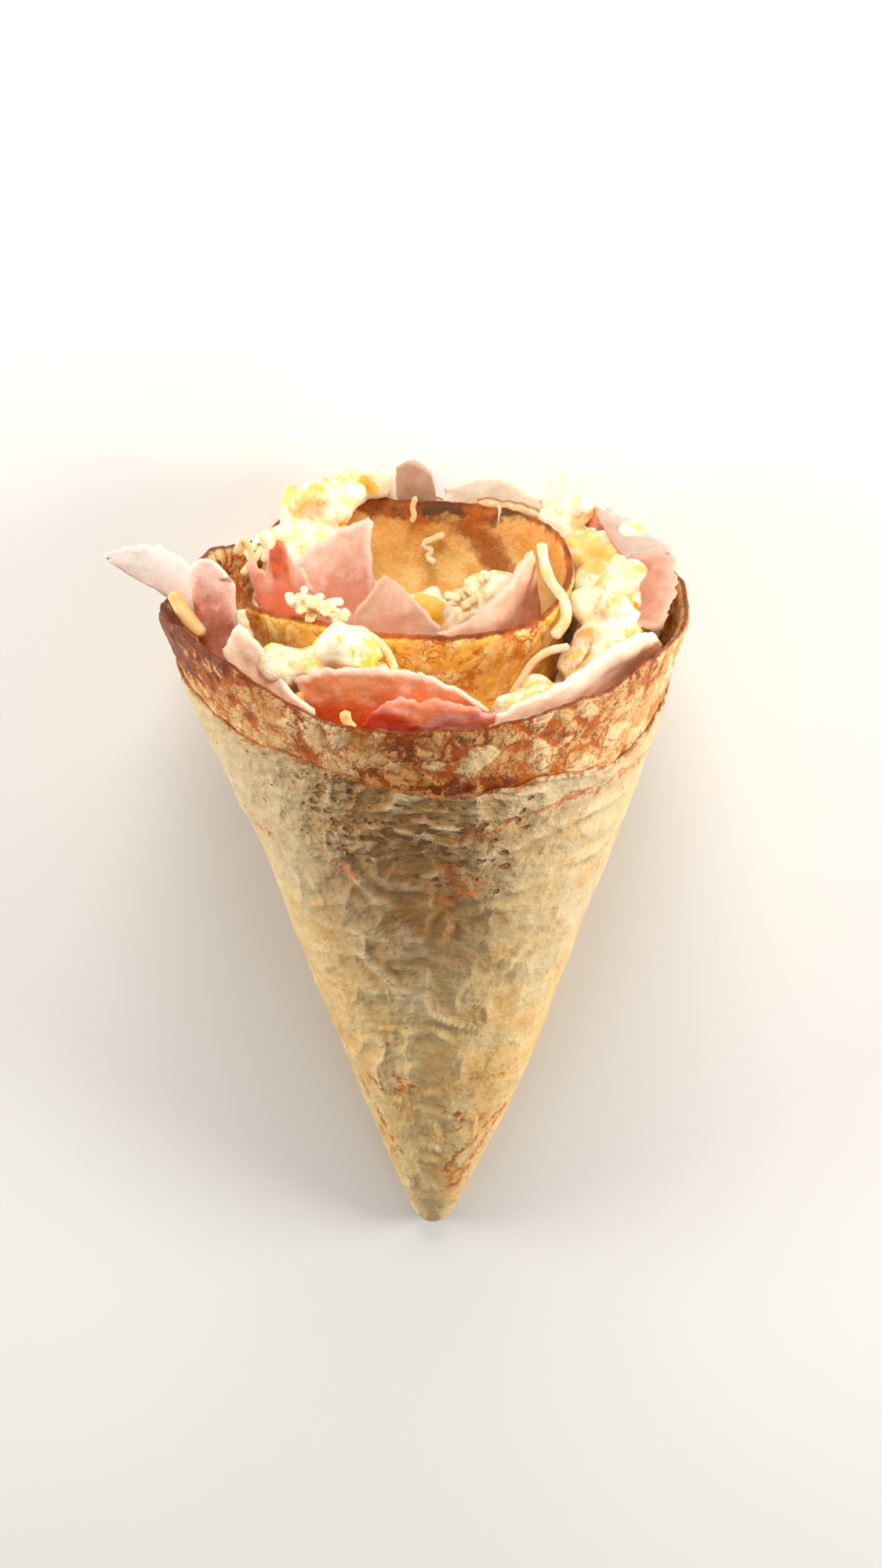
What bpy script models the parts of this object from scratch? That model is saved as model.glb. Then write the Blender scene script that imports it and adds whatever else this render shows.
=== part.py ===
"""A savory crepe, rolled into a pointed cone round scrambled egg, ham and shreds of cheese.

The crepe is one thin pancake, folded in half and rolled: one turn makes the outer wall, and the
rest winds inwards at the mouth as a smaller roll, so that the filling sits in a spiral channel.
It can't stand on its tip, so it lies on its back: +Y runs from the tip towards the mouth, +X to
the right, and the front, which is the side that shows, faces up. Everything is modelled with the
cone's axis upright and its tip down, and hangs on one empty that lays it down.
"""

import math
import random

import bmesh
import bpy
from mathutils import Vector, noise

# The cone, in metres: its mouth, its slope, and the doubled sheet that makes its wall.
MOUTH_RADIUS = 0.055
HALF_ANGLE = math.radians(18.5)
WALL = 0.0024
TIP_RADIUS = 0.0046
APEX_TO_MOUTH = MOUTH_RADIUS / math.tan(HALF_ANGLE)
TIP_CENTRE = TIP_RADIUS / math.sin(HALF_ANGLE)
WALL_COLUMNS = 40

# Rows of points up the wall: those of the blunt tip, and with them those of the whole wall. The
# space inside has rows at these shares of the way from the apex to the mouth.
TIP_ROWS = 3
WALL_ROWS = TIP_ROWS + 11
INSIDE_SHARES = (0.2, 0.35, 0.5, 0.68, 0.85, 1.0, 1.2)

# The soft cone isn't straight. By the share of the way from the apex to the mouth: how far the
# axis bends to the right, and how far the wall bellies out.
AXIS_BEND = (
    (0.07, 0.0017), (0.18, 0.0023), (0.32, 0.0031), (0.50, 0.0028), (0.69, 0.0028),
    (0.80, 0.0021), (0.92, 0.0008), (1.0, 0.0), (1.2, 0.0),
)
BELLY = (
    (0.07, 0.0), (0.18, 0.0012), (0.32, 0.0018), (0.50, 0.0016), (0.66, 0.0009),
    (0.85, 0.0010), (1.0, 0.0), (1.2, 0.0),
)

# From this many degrees off the front the weight takes most of the belly away, all of that share
# once the next number of degrees is passed as well.
BACK_FROM = 110
BACK_REACH = 60
BACK_SHARE = 0.8

# The slow waves of the soft sheet, how long a wave is up the cone, and the height over which they
# fade out towards the tip. Then a fold that stands out on the right of the rim: its middle in
# degrees from the front and over the mouth's plane, its reach each way, and how far it stands out.
SWAY = 0.0004
SWAY_LENGTH = 0.045
SWAY_PACE = 1.4
SWAY_FADE = 0.05
FOLD_MIDDLE = (94, -0.002)
FOLD_REACH = (14, 0.006)
FOLD = 0.0012

# How far the underside is pressed flat where the cone rests on it.
FLAT_DEPTH = 0.001

# The gap between two pieces that touch, and the room that the egg leaves round each slice and
# shred.
GAP = 0.0003
ROOM = 0.0005

# Once round the mouth, in degrees from the front towards +X: the height of the rim over the
# mouth's plane, and of the edge under the brown lace band, where the outer half of the sheet ends.
RIM_HEIGHTS = (
    (-180, 0.0), (-140, 0.0), (-120, 0.0028), (-102, 0.0016), (-84, 0.0046), (-72, 0.0085),
    (-60, 0.0112), (-50, 0.0106), (-39, 0.0075), (-27, 0.0032), (-14, 0.0009), (5, 0.0012),
    (18, 0.0013), (30, 0.0032), (44, 0.0034), (54, 0.0058), (66, 0.0046), (82, 0.0035),
    (102, 0.0048), (125, 0.0035), (152, 0.0010),
)
BAND_HEIGHTS = (
    (-180, -0.012), (-120, -0.0085), (-66, -0.0066), (-49, -0.0101), (-31, -0.0101),
    (-11, -0.0137), (8, -0.0158), (31, -0.0146), (50, -0.0176), (72, -0.014), (110, -0.010),
)
BAND_STEP = 0.0008

# The free side of the outer turn runs slantwise over the front, from low on the left to high on
# the right, and fades out at both ends.
SEAM_HEIGHTS = (
    (-180, -0.044), (-90, -0.042), (-57, -0.039), (-25, -0.0345), (5, -0.0289), (20, -0.0245),
    (37, -0.0215), (65, -0.0229), (110, -0.030),
)
SEAM_STEP = 0.0006
SEAM_CENTRE = 35
SEAM_REACH = 75
SEAM_FADE = 30
BELOW_SEAM = 0.09 * APEX_TO_MOUTH

# The inner roll: a round coil at the mouth's plane that opens at the left. Its angles are in
# degrees from the front towards +X. From ROLL_OUT_FROM on, at the back left, it runs outwards by
# ROLL_OUT, into the outer wall, and past the share ROLL_JOINS_FROM of its length it follows that
# wall's belly too.
ROLL_SHEET = 0.0022
ROLL_CENTRE = (-0.004, -0.009)
ROLL_RADIUS = 0.034
ROLL_START = -71
ROLL_END = 231.7
ROLL_OUT = 0.0104
ROLL_OUT_FROM = 165
ROLL_JOINS_FROM = 0.85
ROLL_BOTTOM = 0.40 * APEX_TO_MOUTH
ROLL_HEIGHTS = (
    (-71, 0.0046), (-60, 0.0060), (-35, 0.0092), (-10, 0.0090), (12, 0.0078), (37, 0.0064),
    (53, 0.0056), (64, 0.0060), (90, 0.0074), (115, 0.0090), (150, 0.0080), (180, 0.0066),
    (205, 0.0070), (220, 0.0030), (231.7, -0.0035),
)
ROLL_COLUMNS = 38
ROLL_ROWS = 3

# The egg: mounds of (right of the axis, in front of it, top over the mouth's plane, spread, and
# how many of its curds show), first those round the roll, then those in it.
EGG_FLOOR = -0.017
OUTER_MOUNDS = (
    (-0.016, 0.032, 0.0100, 0.009, 5),
    (-0.029, 0.031, 0.0060, 0.008, 3),
    (0.022, 0.038, 0.0000, 0.008, 4),
    (0.036, 0.020, -0.0030, 0.009, 3),
    (0.040, 0.005, 0.0010, 0.010, 3),
    (0.042, -0.010, 0.0050, 0.010, 3),
    (0.041, -0.024, 0.0080, 0.010, 3),
    (0.031, -0.037, 0.0115, 0.009, 4),
    (0.014, -0.047, 0.0050, 0.008, 0),
    (-0.002, -0.048, 0.0050, 0.008, 0),
    (-0.013, -0.046, 0.0115, 0.008, 4),
    (-0.028, -0.041, 0.0080, 0.009, 0),
    (-0.044, -0.010, -0.0080, 0.010, 1),
    (-0.046, 0.010, -0.0090, 0.008, 0),
)
INNER_MOUNDS = (
    (0.000, -0.008, -0.0020, 0.012, 3),
    (0.013, -0.014, -0.0010, 0.010, 4),
    (-0.016, -0.014, -0.0040, 0.010, 0),
    (-0.026, -0.002, -0.0020, 0.010, 0),
    (-0.0280, -0.0330, 0.0140, 0.0080, 4),
    (-0.0195, -0.0370, 0.0140, 0.0065, 3),
)
EGG_GRID = 14
EGG_BLOCK = 1.05 * MOUTH_RADIUS

# The curds sit round the middle of their mound, each turned on by this angle, within a share of
# the mound's spread, and with their middle a share of their size over the bare mound.
CURD_SIZES = (0.0036, 0.0064)
CURD_SEED = 11
CURD_TURN = 2.4
CURD_SPREAD = 0.85
CURD_LIFT = 0.1
CURD_DENT = 0.35

HAM = 0.0016

# Each slice of ham by its upper and lower edge, both from left to right, as points of
# (right of the axis, in front of it, over the mouth's plane).
HAM_SLICES = {
    "ham_flag": (
        ((-0.0663, 0.004, 0.0166), (-0.0618, 0.002, 0.0176), (-0.0554, 0.000, 0.0164),
         (-0.0505, -0.0015, 0.0126), (-0.0465, -0.0025, 0.006)),
        ((-0.0657, 0.0046, 0.0150), (-0.0594, 0.0052, 0.0106), (-0.0546, 0.006, 0.0080),
         (-0.0498, 0.0060, 0.0035), (-0.0440, 0.0045, -0.010)),
    ),
    "ham_fold": (
        ((-0.0488, 0.0085, 0.0150), (-0.0455, 0.0085, 0.0172), (-0.0422, 0.0090, 0.0140),
         (-0.0405, 0.0110, 0.0095)),
        ((-0.0460, 0.0105, -0.012), (-0.0435, 0.0135, -0.013), (-0.0405, 0.0150, -0.014),
         (-0.0385, 0.0155, -0.014)),
    ),
    "ham_corner": (
        ((-0.0400, 0.034, 0.0080), (-0.0378, 0.0325, 0.0123), (-0.0334, 0.0375, 0.0096),
         (-0.0278, 0.042, 0.0044), (-0.0222, 0.046, 0.0018)),
        ((-0.0360, 0.032, -0.010), (-0.0345, 0.0315, -0.010), (-0.0300, 0.0355, -0.010),
         (-0.0255, 0.0390, -0.010), (-0.0205, 0.0420, -0.010)),
    ),
    "ham_front": (
        ((-0.0263, 0.0370, 0.0040), (-0.0174, 0.0405, 0.0079), (-0.0063, 0.0430, 0.0092),
         (0.0032, 0.0440, 0.0073), (0.0130, 0.0445, 0.0014)),
        ((-0.0190, 0.0390, -0.010), (-0.0110, 0.0425, -0.011), (-0.0010, 0.0440, -0.011),
         (0.0080, 0.0435, -0.011), (0.0140, 0.0420, -0.010)),
    ),
    "ham_lap": (
        ((-0.0120, 0.0487, 0.0005), (-0.0055, 0.0490, 0.0052), (0.0032, 0.0492, 0.0042),
         (0.0115, 0.0478, 0.0000)),
        ((-0.0100, 0.0466, -0.0075), (-0.0040, 0.0475, -0.0080), (0.0030, 0.0475, -0.0080),
         (0.0100, 0.0462, -0.0075)),
    ),
    "ham_right_strip": (
        ((0.0155, 0.0485, 0.0012), (0.0216, 0.0465, 0.0045), (0.0290, 0.0420, 0.0060),
         (0.0370, 0.0360, 0.0085), (0.0450, 0.0265, 0.0090), (0.0500, 0.0170, 0.0030)),
        ((0.0150, 0.0450, -0.009), (0.0205, 0.0425, -0.009), (0.0270, 0.0385, -0.008),
         (0.0340, 0.0320, -0.007), (0.0405, 0.0235, -0.006), (0.0450, 0.0160, -0.006)),
    ),
    "ham_right": (
        ((0.0485, 0.0060, 0.0050), (0.0500, 0.0000, 0.0080), (0.0515, -0.0080, 0.0100),
         (0.0512, -0.0140, 0.0105)),
        ((0.0450, 0.0050, -0.008), (0.0460, -0.0010, -0.007), (0.0465, -0.0080, -0.006),
         (0.0460, -0.0130, -0.006)),
    ),
    "ham_pale": (
        ((0.0508, -0.0170, 0.0098), (0.0490, -0.0225, 0.0080), (0.0464, -0.0272, 0.0082),
         (0.0437, -0.0312, 0.0084)),
        ((0.0455, -0.0160, -0.007), (0.0440, -0.0205, -0.007), (0.0418, -0.0250, -0.007),
         (0.0395, -0.0285, -0.007)),
    ),
    "ham_wedge": (
        ((0.0362, -0.0335, 0.0098), (0.0382, -0.0330, 0.0108), (0.0404, -0.0312, 0.0088)),
        ((0.0360, -0.0255, -0.006), (0.0373, -0.0240, -0.006), (0.0386, -0.0222, -0.006)),
    ),
    "ham_back": (
        ((0.0045, -0.0475, 0.0090), (0.0119, -0.0485, 0.0110), (0.0188, -0.0475, 0.0112),
         (0.0262, -0.0445, 0.0075)),
        ((0.0045, -0.0455, -0.006), (0.0110, -0.0455, -0.006), (0.0170, -0.0440, -0.006),
         (0.0235, -0.0415, -0.006)),
    ),
    "ham_curl": (
        ((-0.0091, -0.0490, 0.0080), (-0.0065, -0.0490, 0.0130), (-0.0030, -0.0485, 0.0152),
         (0.0010, -0.0480, 0.0130), (0.0024, -0.0475, 0.0085)),
        ((-0.0080, -0.0470, -0.004), (-0.0055, -0.0470, -0.004), (-0.0030, -0.0468, -0.004),
         (0.0000, -0.0465, -0.004), (0.0020, -0.0462, -0.004)),
    ),
    "ham_inner_back": (
        ((-0.0280, -0.0170, 0.0055), (-0.0240, -0.0190, 0.0080), (-0.0185, -0.0215, 0.0105),
         (-0.0122, -0.0240, 0.0129)),
        ((-0.0250, -0.0060, -0.010), (-0.0205, -0.0065, -0.010), (-0.0160, -0.0080, -0.010),
         (-0.0105, -0.0110, -0.010)),
    ),
    "ham_inner_front": (
        ((-0.0150, 0.0080, 0.0045), (-0.0118, 0.0055, 0.0085), (-0.0076, 0.0040, 0.0110),
         (-0.0020, 0.0100, 0.0086), (0.0032, 0.0160, 0.0052)),
        ((-0.0150, 0.0140, -0.009), (-0.0105, 0.0160, -0.009), (-0.0060, 0.0175, -0.009),
         (-0.0020, 0.0180, -0.009), (0.0015, 0.0185, -0.009)),
    ),
    "ham_crescent": (
        ((0.0055, 0.0190, 0.0065), (0.0113, 0.0160, 0.0071), (0.0171, 0.0080, 0.0079),
         (0.0223, -0.0020, 0.0104), (0.0250, -0.0100, 0.0133)),
        ((0.0060, 0.0190, -0.009), (0.0120, 0.0150, -0.009), (0.0185, 0.0080, -0.008),
         (0.0225, -0.0010, -0.006), (0.0240, -0.0090, -0.004)),
    ),
    "ham_red": (
        ((-0.0375, -0.0040, 0.0120), (-0.0345, -0.0035, 0.0095), (-0.0315, -0.0050, 0.0145),
         (-0.0275, -0.0030, 0.0115), (-0.0248, 0.0000, 0.0090)),
        ((-0.0330, 0.0010, -0.008), (-0.0300, 0.0030, -0.008), (-0.0275, 0.0045, -0.008),
         (-0.0245, 0.0050, -0.008), (-0.0215, 0.0055, -0.008)),
    ),
}

# Shreds of cheese, each by the points that it passes through, in the same three distances. The
# shreds of one group cross each other, so a group is one piece.
SHRED_WIDTH = 0.0022
SHRED_THICKNESS = 0.0013
CHEESE_SHREDS = {
    "cheese_strand": (
        ((0.0262, -0.0120, 0.0160), (0.0275, -0.0060, 0.0130), (0.0294, 0.0000, 0.0104),
         (0.0315, 0.0050, 0.0062), (0.0310, 0.0090, 0.0025), (0.0280, 0.0120, 0.0000)),
    ),
    "cheese_ribbon": (
        ((0.0175, 0.0230, -0.0065), (0.0205, 0.0225, -0.0020), (0.0245, 0.0215, 0.0020),
         (0.0290, 0.0205, 0.0045), (0.0335, 0.0195, 0.0055)),
    ),
    "cheese_pile": (
        ((-0.0270, 0.0150, 0.0110), (-0.0225, 0.0175, 0.0118), (-0.0180, 0.0205, 0.0110)),
        ((-0.0250, 0.0195, 0.0110), (-0.0224, 0.0170, 0.0118), (-0.0210, 0.0130, 0.0110)),
        ((-0.0215, 0.0215, 0.0110), (-0.0198, 0.0185, 0.0118), (-0.0165, 0.0160, 0.0110)),
    ),
    "cheese_zigzag": (
        ((0.0052, -0.0395, 0.0008), (0.0026, -0.0394, -0.0006), (0.0001, -0.0392, -0.0017)),
        ((0.0001, -0.0392, -0.0015), (0.0012, -0.0388, -0.0035), (0.0023, -0.0383, -0.0054),
         (0.0044, -0.0375, -0.0068)),
    ),
    "cheese_left": (
        ((-0.0395, -0.0310, 0.0010), (-0.0380, -0.0270, 0.0015), (-0.0370, -0.0220, 0.0000)),
        ((-0.0340, -0.0340, 0.0040), (-0.0362, -0.0280, 0.0020), (-0.0400, -0.0230, -0.0010)),
    ),
}

COLOURS = {
    "crepe": (0.74, 0.58, 0.34),
    "egg": (1.0, 0.86, 0.38),
    "ham": (0.87, 0.50, 0.40),
    "cheese": (0.95, 0.84, 0.60),
}


def read_off(table, x):
    """The value at x on the smooth curve through a table of (x, value) pairs."""
    last = len(table) - 1
    i = max(k for k in range(last) if k == 0 or table[k][0] <= x)

    def slope(k):
        before, after = table[max(k - 1, 0)], table[min(k + 1, last)]
        return (after[1] - before[1]) / (after[0] - before[0])

    (x0, y0), (x1, y1) = table[i], table[i + 1]
    span = x1 - x0
    t = min(max((x - x0) / span, 0.0), 1.0)
    rise = (2 * t**3 - 3 * t**2 + 1) * y0 + (3 * t**2 - 2 * t**3) * y1
    bend = (t**3 - 2 * t**2 + t) * slope(i) + (t**3 - t**2) * slope(i + 1)
    return rise + bend * span


def round_the_mouth(table, degrees):
    """The same for a table that goes once round the axis."""
    wrapped = [(x - 360, y) for x, y in table[-2:]] + list(table)
    wrapped += [(x + 360, y) for x, y in table[:3]]
    return read_off(wrapped, (degrees + 180) % 360 - 180)


def along(points, t):
    """The point at t, from 0 to 1, on the smooth curve through some points."""
    reach = t * (len(points) - 1)
    return Vector([read_off([(k, p[axis]) for k, p in enumerate(points)], reach) for axis in range(3)])


def fade(x):
    """Rises smoothly from 0 to 1 as x goes from 0 to 1."""
    x = min(max(x, 0.0), 1.0)
    return x * x * (3 - 2 * x)


def place(right, front, over):
    """A point by its distances to the right of the axis, in front of it and over the mouth."""
    return Vector((right, -front, APEX_TO_MOUTH + over))


def pressed_flat(point, inset=0.0):
    """The point, kept off the surface that the cone lies on."""
    limit = point.z * math.sin(HALF_ANGLE) - FLAT_DEPTH - inset
    point.y = min(point.y, limit / math.cos(HALF_ANGLE))
    return point


def new_object(name, mesh, collection):
    obj = bpy.data.objects.new(name, mesh)
    collection.objects.link(obj)
    return obj


def mesh_of(bm, name):
    """A mesh of triangles. A bent face of four corners would be split one way by one Boolean and
    the other way by the next."""
    bmesh.ops.triangulate(bm, faces=bm.faces, quad_method="FIXED")
    mesh = bpy.data.meshes.new(name)
    bm.to_mesh(mesh)
    bm.free()
    return mesh


def applied(obj):
    """Replaces the object's mesh by the mesh that its modifiers make."""
    graph = bpy.context.evaluated_depsgraph_get()
    made = bpy.data.meshes.new_from_object(obj.evaluated_get(graph))
    obj.modifiers.clear()
    obj.data = made
    return obj


def closed_body(obj):
    """Turns the faces of a closed mesh outwards and splits them into triangles."""
    bm = bmesh.new()
    bm.from_mesh(obj.data)
    bmesh.ops.recalc_face_normals(bm, faces=bm.faces)
    obj.data = mesh_of(bm, obj.name)
    return obj


def joined(obj, operation, other=None, group=None):
    """Applies one Boolean with an object or with a collection of them. The solids are all
    closed, and so many cuts meet in the egg that the EXACT solver leaves open edges there."""
    boolean = obj.modifiers.new(operation.lower(), "BOOLEAN")
    boolean.operation = operation
    boolean.solver = "MANIFOLD"
    if group:
        boolean.operand_type = "COLLECTION"
        boolean.collection = group
    else:
        boolean.object = other
    return applied(obj)


def largest_body(obj):
    """Drops the loose scraps that a Boolean leaves beside the piece."""
    bm = bmesh.new()
    bm.from_mesh(obj.data)
    left = set(bm.verts)
    bodies = []
    while left:
        body = {left.pop()}
        edge_of_body = list(body)
        while edge_of_body:
            vert = edge_of_body.pop()
            for edge in vert.link_edges:
                other = edge.other_vert(vert)
                if other in left:
                    left.discard(other)
                    body.add(other)
                    edge_of_body.append(other)
        bodies.append(body)
    bodies.sort(key=len, reverse=True)
    scraps = [vert for body in bodies[1:] for vert in body]
    bmesh.ops.delete(bm, geom=scraps, context="VERTS")
    bm.to_mesh(obj.data)
    bm.free()
    return obj


def mapped_grid(name, columns, rows, shape, thickness, collection):
    """A grid bent into a sheet: shape(u, v) gives the place of each of its points."""
    bm = bmesh.new()
    bmesh.ops.create_grid(bm, x_segments=columns, y_segments=rows, size=0.5)
    for vert in bm.verts:
        vert.co = shape(vert.co.x + 0.5, vert.co.y + 0.5)
    sheet = new_object(name, mesh_of(bm, name), collection)
    solidify = sheet.modifiers.new("thickness", "SOLIDIFY")
    solidify.thickness = thickness
    solidify.offset = 0.0
    solidify.use_even_offset = True
    return closed_body(applied(sheet))


def spun(name, rows, columns, shape, collection, cap):
    """A profile of numbered rows turned once round the axis, each point then moved to
    shape(degrees from the front, row)."""
    bm = bmesh.new()
    profile = [bm.verts.new((float(row > 0), 0, row)) for row in range(rows, -1, -1)]
    if cap:
        profile.insert(0, bm.verts.new((0, 0, rows)))
    for upper, lower in zip(profile, profile[1:]):
        bm.edges.new((upper, lower))
    turned = new_object(name, mesh_of(bm, name), collection)
    screw = turned.modifiers.new("turn", "SCREW")
    screw.steps = columns
    screw.render_steps = columns
    screw.use_merge_vertices = True
    screw.merge_threshold = 0.0001
    applied(turned)
    for vert in turned.data.vertices:
        on_axis = math.hypot(vert.co.x, vert.co.y) < 0.5
        degrees = math.degrees(math.atan2(vert.co.x, -vert.co.y))
        vert.co = shape(degrees, round(vert.co.z))
        if on_axis:
            vert.co.xy = (0, 0)
    return turned if not cap else closed_body(turned)


def wall_height(degrees, row):
    """How far from the apex, on the axis, a row of the wall is."""
    rim = APEX_TO_MOUTH + round_the_mouth(RIM_HEIGHTS, degrees)
    band = APEX_TO_MOUTH + round_the_mouth(BAND_HEIGHTS, degrees)
    seam = APEX_TO_MOUTH + round_the_mouth(SEAM_HEIGHTS, degrees)
    low = seam - BELOW_SEAM
    heights = {
        WALL_ROWS: rim,
        WALL_ROWS - 1: (rim + band) / 2,
        WALL_ROWS - 2: band + BAND_STEP / 2,
        WALL_ROWS - 3: band - BAND_STEP / 2,
        WALL_ROWS - 4: seam + SEAM_STEP,
        WALL_ROWS - 5: seam - SEAM_STEP,
    }
    if row in heights:
        return heights[row]
    first = TIP_CENTRE - TIP_RADIUS * math.sin(HALF_ANGLE)
    share = (row - TIP_ROWS) / (WALL_ROWS - 6 - TIP_ROWS)
    return first + (low - first) * share


def wall_proud(degrees, row):
    """How far a row stands out from the plain cone."""
    off_centre = abs((degrees - SEAM_CENTRE + 180) % 360 - 180)
    flap = SEAM_STEP * fade((SEAM_REACH - off_centre) / SEAM_FADE)
    proud = 0.0
    if row >= WALL_ROWS - 4:
        proud += flap
    if row >= WALL_ROWS - 2:
        proud -= BAND_STEP
    return proud


def fold(degrees, height):
    """The fold on the right of the rim."""
    side = (degrees - FOLD_MIDDLE[0]) / FOLD_REACH[0]
    up = (height - APEX_TO_MOUTH - FOLD_MIDDLE[1]) / FOLD_REACH[1]
    return FOLD * math.exp(-side * side - up * up)


def sway(degrees, height):
    """The slow waves of a soft sheet."""
    turn = math.radians(degrees)
    spot = Vector((math.sin(turn), math.cos(turn), height / SWAY_LENGTH))
    return SWAY * noise.noise(spot * SWAY_PACE) * fade(height / SWAY_FADE)


def axis_bend(height):
    """How far to the right of the straight axis the middle of the cone is."""
    return read_off(AXIS_BEND, height / APEX_TO_MOUTH)


def cone_radius(degrees, height):
    """The cone's radius with its belly, which is pressed away where it lies on its back."""
    off_front = abs((degrees + 180) % 360 - 180)
    behind = fade((off_front - BACK_FROM) / BACK_REACH)
    belly = read_off(BELLY, height / APEX_TO_MOUTH) * (1 - BACK_SHARE * behind)
    return height * math.tan(HALF_ANGLE) + belly


def ring_point(degrees, radius, height, inset=0.0):
    """A point at a radius round the bent axis, kept off the surface that the cone lies on."""
    turn = math.radians(degrees)
    right = radius * math.sin(turn) + axis_bend(height)
    return pressed_flat(Vector((right, -radius * math.cos(turn), height)), inset)


def tip_point(degrees, row, inset=0.0):
    """A point of the blunt tip, or of a smaller ball inside it."""
    swing = (math.pi / 2 - HALF_ANGLE) * row / TIP_ROWS
    ball = TIP_RADIUS - inset
    return ring_point(degrees, ball * math.sin(swing), TIP_CENTRE - ball * math.cos(swing), inset)


def wall_point(degrees, row):
    """A point of the wall's outer face."""
    if row <= TIP_ROWS:
        return tip_point(degrees, row)
    height = wall_height(degrees, row)
    radius = cone_radius(degrees, height) + wall_proud(degrees, row)
    radius += fold(degrees, height) + sway(degrees, height)
    return ring_point(degrees, radius, height)


def make_wall(collection):
    """The outer turn: an open cone with a blunt tip, given the thickness of the doubled sheet."""
    wall = spun("crepe", WALL_ROWS, WALL_COLUMNS, wall_point, collection, cap=False)
    solidify = wall.modifiers.new("thickness", "SOLIDIFY")
    solidify.thickness = WALL
    solidify.offset = -1.0
    solidify.use_even_offset = True
    return closed_body(applied(wall))


def make_inside(collection):
    """The space within the wall, carried on past the rim: what the filling has to fit."""
    inset = WALL + BAND_STEP + SWAY / 2 + 1.4 * GAP

    def shape(degrees, row):
        if row <= TIP_ROWS:
            return tip_point(degrees, row, WALL + 3 * GAP)
        height = APEX_TO_MOUTH * INSIDE_SHARES[row - TIP_ROWS - 1]
        radius = cone_radius(degrees, height) - inset / math.cos(HALF_ANGLE)
        return ring_point(degrees, radius, height, inset)

    return spun("inside", TIP_ROWS + len(INSIDE_SHARES), WALL_COLUMNS, shape, collection, cap=True)


def roll_path(psi):
    """The roll's line at the mouth's plane, at an angle round its own centre. Past the roll's end
    it goes on across the opening at the left, back to where it starts."""
    if psi < ROLL_END:
        outwards = fade((psi - ROLL_OUT_FROM) / (ROLL_END - ROLL_OUT_FROM))
    else:
        outwards = fade((ROLL_START + 360 - psi) / (ROLL_START + 360 - ROLL_END))
    radius = ROLL_RADIUS + ROLL_OUT * outwards
    turn = math.radians(psi)
    right = ROLL_CENTRE[0] + radius * math.sin(turn)
    front = ROLL_CENTRE[1] + radius * math.cos(turn)
    return right, front


def roll_point(u, v, longer=0.0, higher=0.0, lower=0.0):
    """A point of the roll's middle surface: u runs along the coil, v from its foot to its rim.
    Near its end the coil keeps as close to the wall, belly and all, as it is at the mouth."""
    psi = ROLL_START + (ROLL_END - ROLL_START) * u
    if u in (0.0, 1.0):
        psi += math.degrees(longer / ROLL_RADIUS) * (2 * u - 1)
    right, front = roll_path(min(psi, ROLL_END))
    top = APEX_TO_MOUTH + read_off(ROLL_HEIGHTS, psi) + higher
    height = ROLL_BOTTOM - lower + (top - ROLL_BOTTOM + lower) * v
    share = height / APEX_TO_MOUTH
    reach = math.hypot(right, front)
    degrees = math.degrees(math.atan2(right, front))
    belly = cone_radius(degrees, height) - height * math.tan(HALF_ANGLE)
    inset = (MOUTH_RADIUS - reach) * (1 - share) - belly
    if psi > ROLL_END:
        inset -= longer
    joining = fade((u - ROLL_JOINS_FROM) / (1 - ROLL_JOINS_FROM))
    shift = 1 - inset * joining / (reach * share)
    right = right * share * shift + axis_bend(height)
    return Vector((right, -front * share * shift, height))


def make_roll(name, collection, thicker=0.0, longer=0.0, higher=0.0, lower=0.0):
    """The inner turn of the sheet, or a fatter copy of it that clears the filling."""

    def shape(u, v):
        return roll_point(u, v, longer, higher, lower)

    return mapped_grid(name, ROLL_COLUMNS, ROLL_ROWS, shape, ROLL_SHEET + thicker, collection)


def egg_top(mounds, right, front):
    """The height of the bare egg over the mouth's plane: the highest mound near a spot."""
    total = 0.0
    for x, y, top, spread, _ in mounds:
        away = ((right - x) ** 2 + (front - y) ** 2) / spread**2
        total += ((top - EGG_FLOOR) * math.exp(-away)) ** 4
    return EGG_FLOOR + total**0.25


def make_heap(mounds, collection):
    """A block whose top is the uneven top of the egg."""
    bm = bmesh.new()
    bmesh.ops.create_grid(bm, x_segments=EGG_GRID, y_segments=EGG_GRID, size=EGG_BLOCK)
    for vert in bm.verts:
        vert.co.z = APEX_TO_MOUTH + egg_top(mounds, vert.co.x, -vert.co.y)
    block = bmesh.ops.extrude_face_region(bm, geom=bm.faces[:])
    for part in block["geom"]:
        if isinstance(part, bmesh.types.BMVert):
            part.co.z = 0.0
    bmesh.ops.recalc_face_normals(bm, faces=bm.faces)
    return new_object("egg", mesh_of(bm, "egg"), collection)


def make_curds(mounds, collection):
    """Soft dented lumps on each mound, sunk about half their height into it."""
    for number, (x, y, _, spread, curds) in enumerate(mounds):
        dice = random.Random(CURD_SEED + number)
        for k in range(curds):
            turn = CURD_TURN * k + dice.uniform(0, 1.5)
            away = spread * CURD_SPREAD * math.sqrt((k + 0.4) / curds)
            size = dice.uniform(*CURD_SIZES)
            right, front = x + away * math.sin(turn), y + away * math.cos(turn)
            centre = place(right, front, egg_top(mounds, right, front) + CURD_LIFT * size)
            bm = bmesh.new()
            bmesh.ops.create_uvsphere(bm, u_segments=8, v_segments=5, radius=size)
            stretch = Vector((dice.uniform(0.9, 1.3), dice.uniform(0.9, 1.3), dice.uniform(0.7, 0.9)))
            for vert in bm.verts:
                dent = 1 + CURD_DENT * noise.noise(vert.co / size * 1.1 + Vector((number, k, 0)) * 3.7)
                vert.co = centre + Vector(a * b * dent for a, b in zip(vert.co, stretch))
            new_object(f"curd_{number}_{k}", mesh_of(bm, "curd"), collection)


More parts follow.
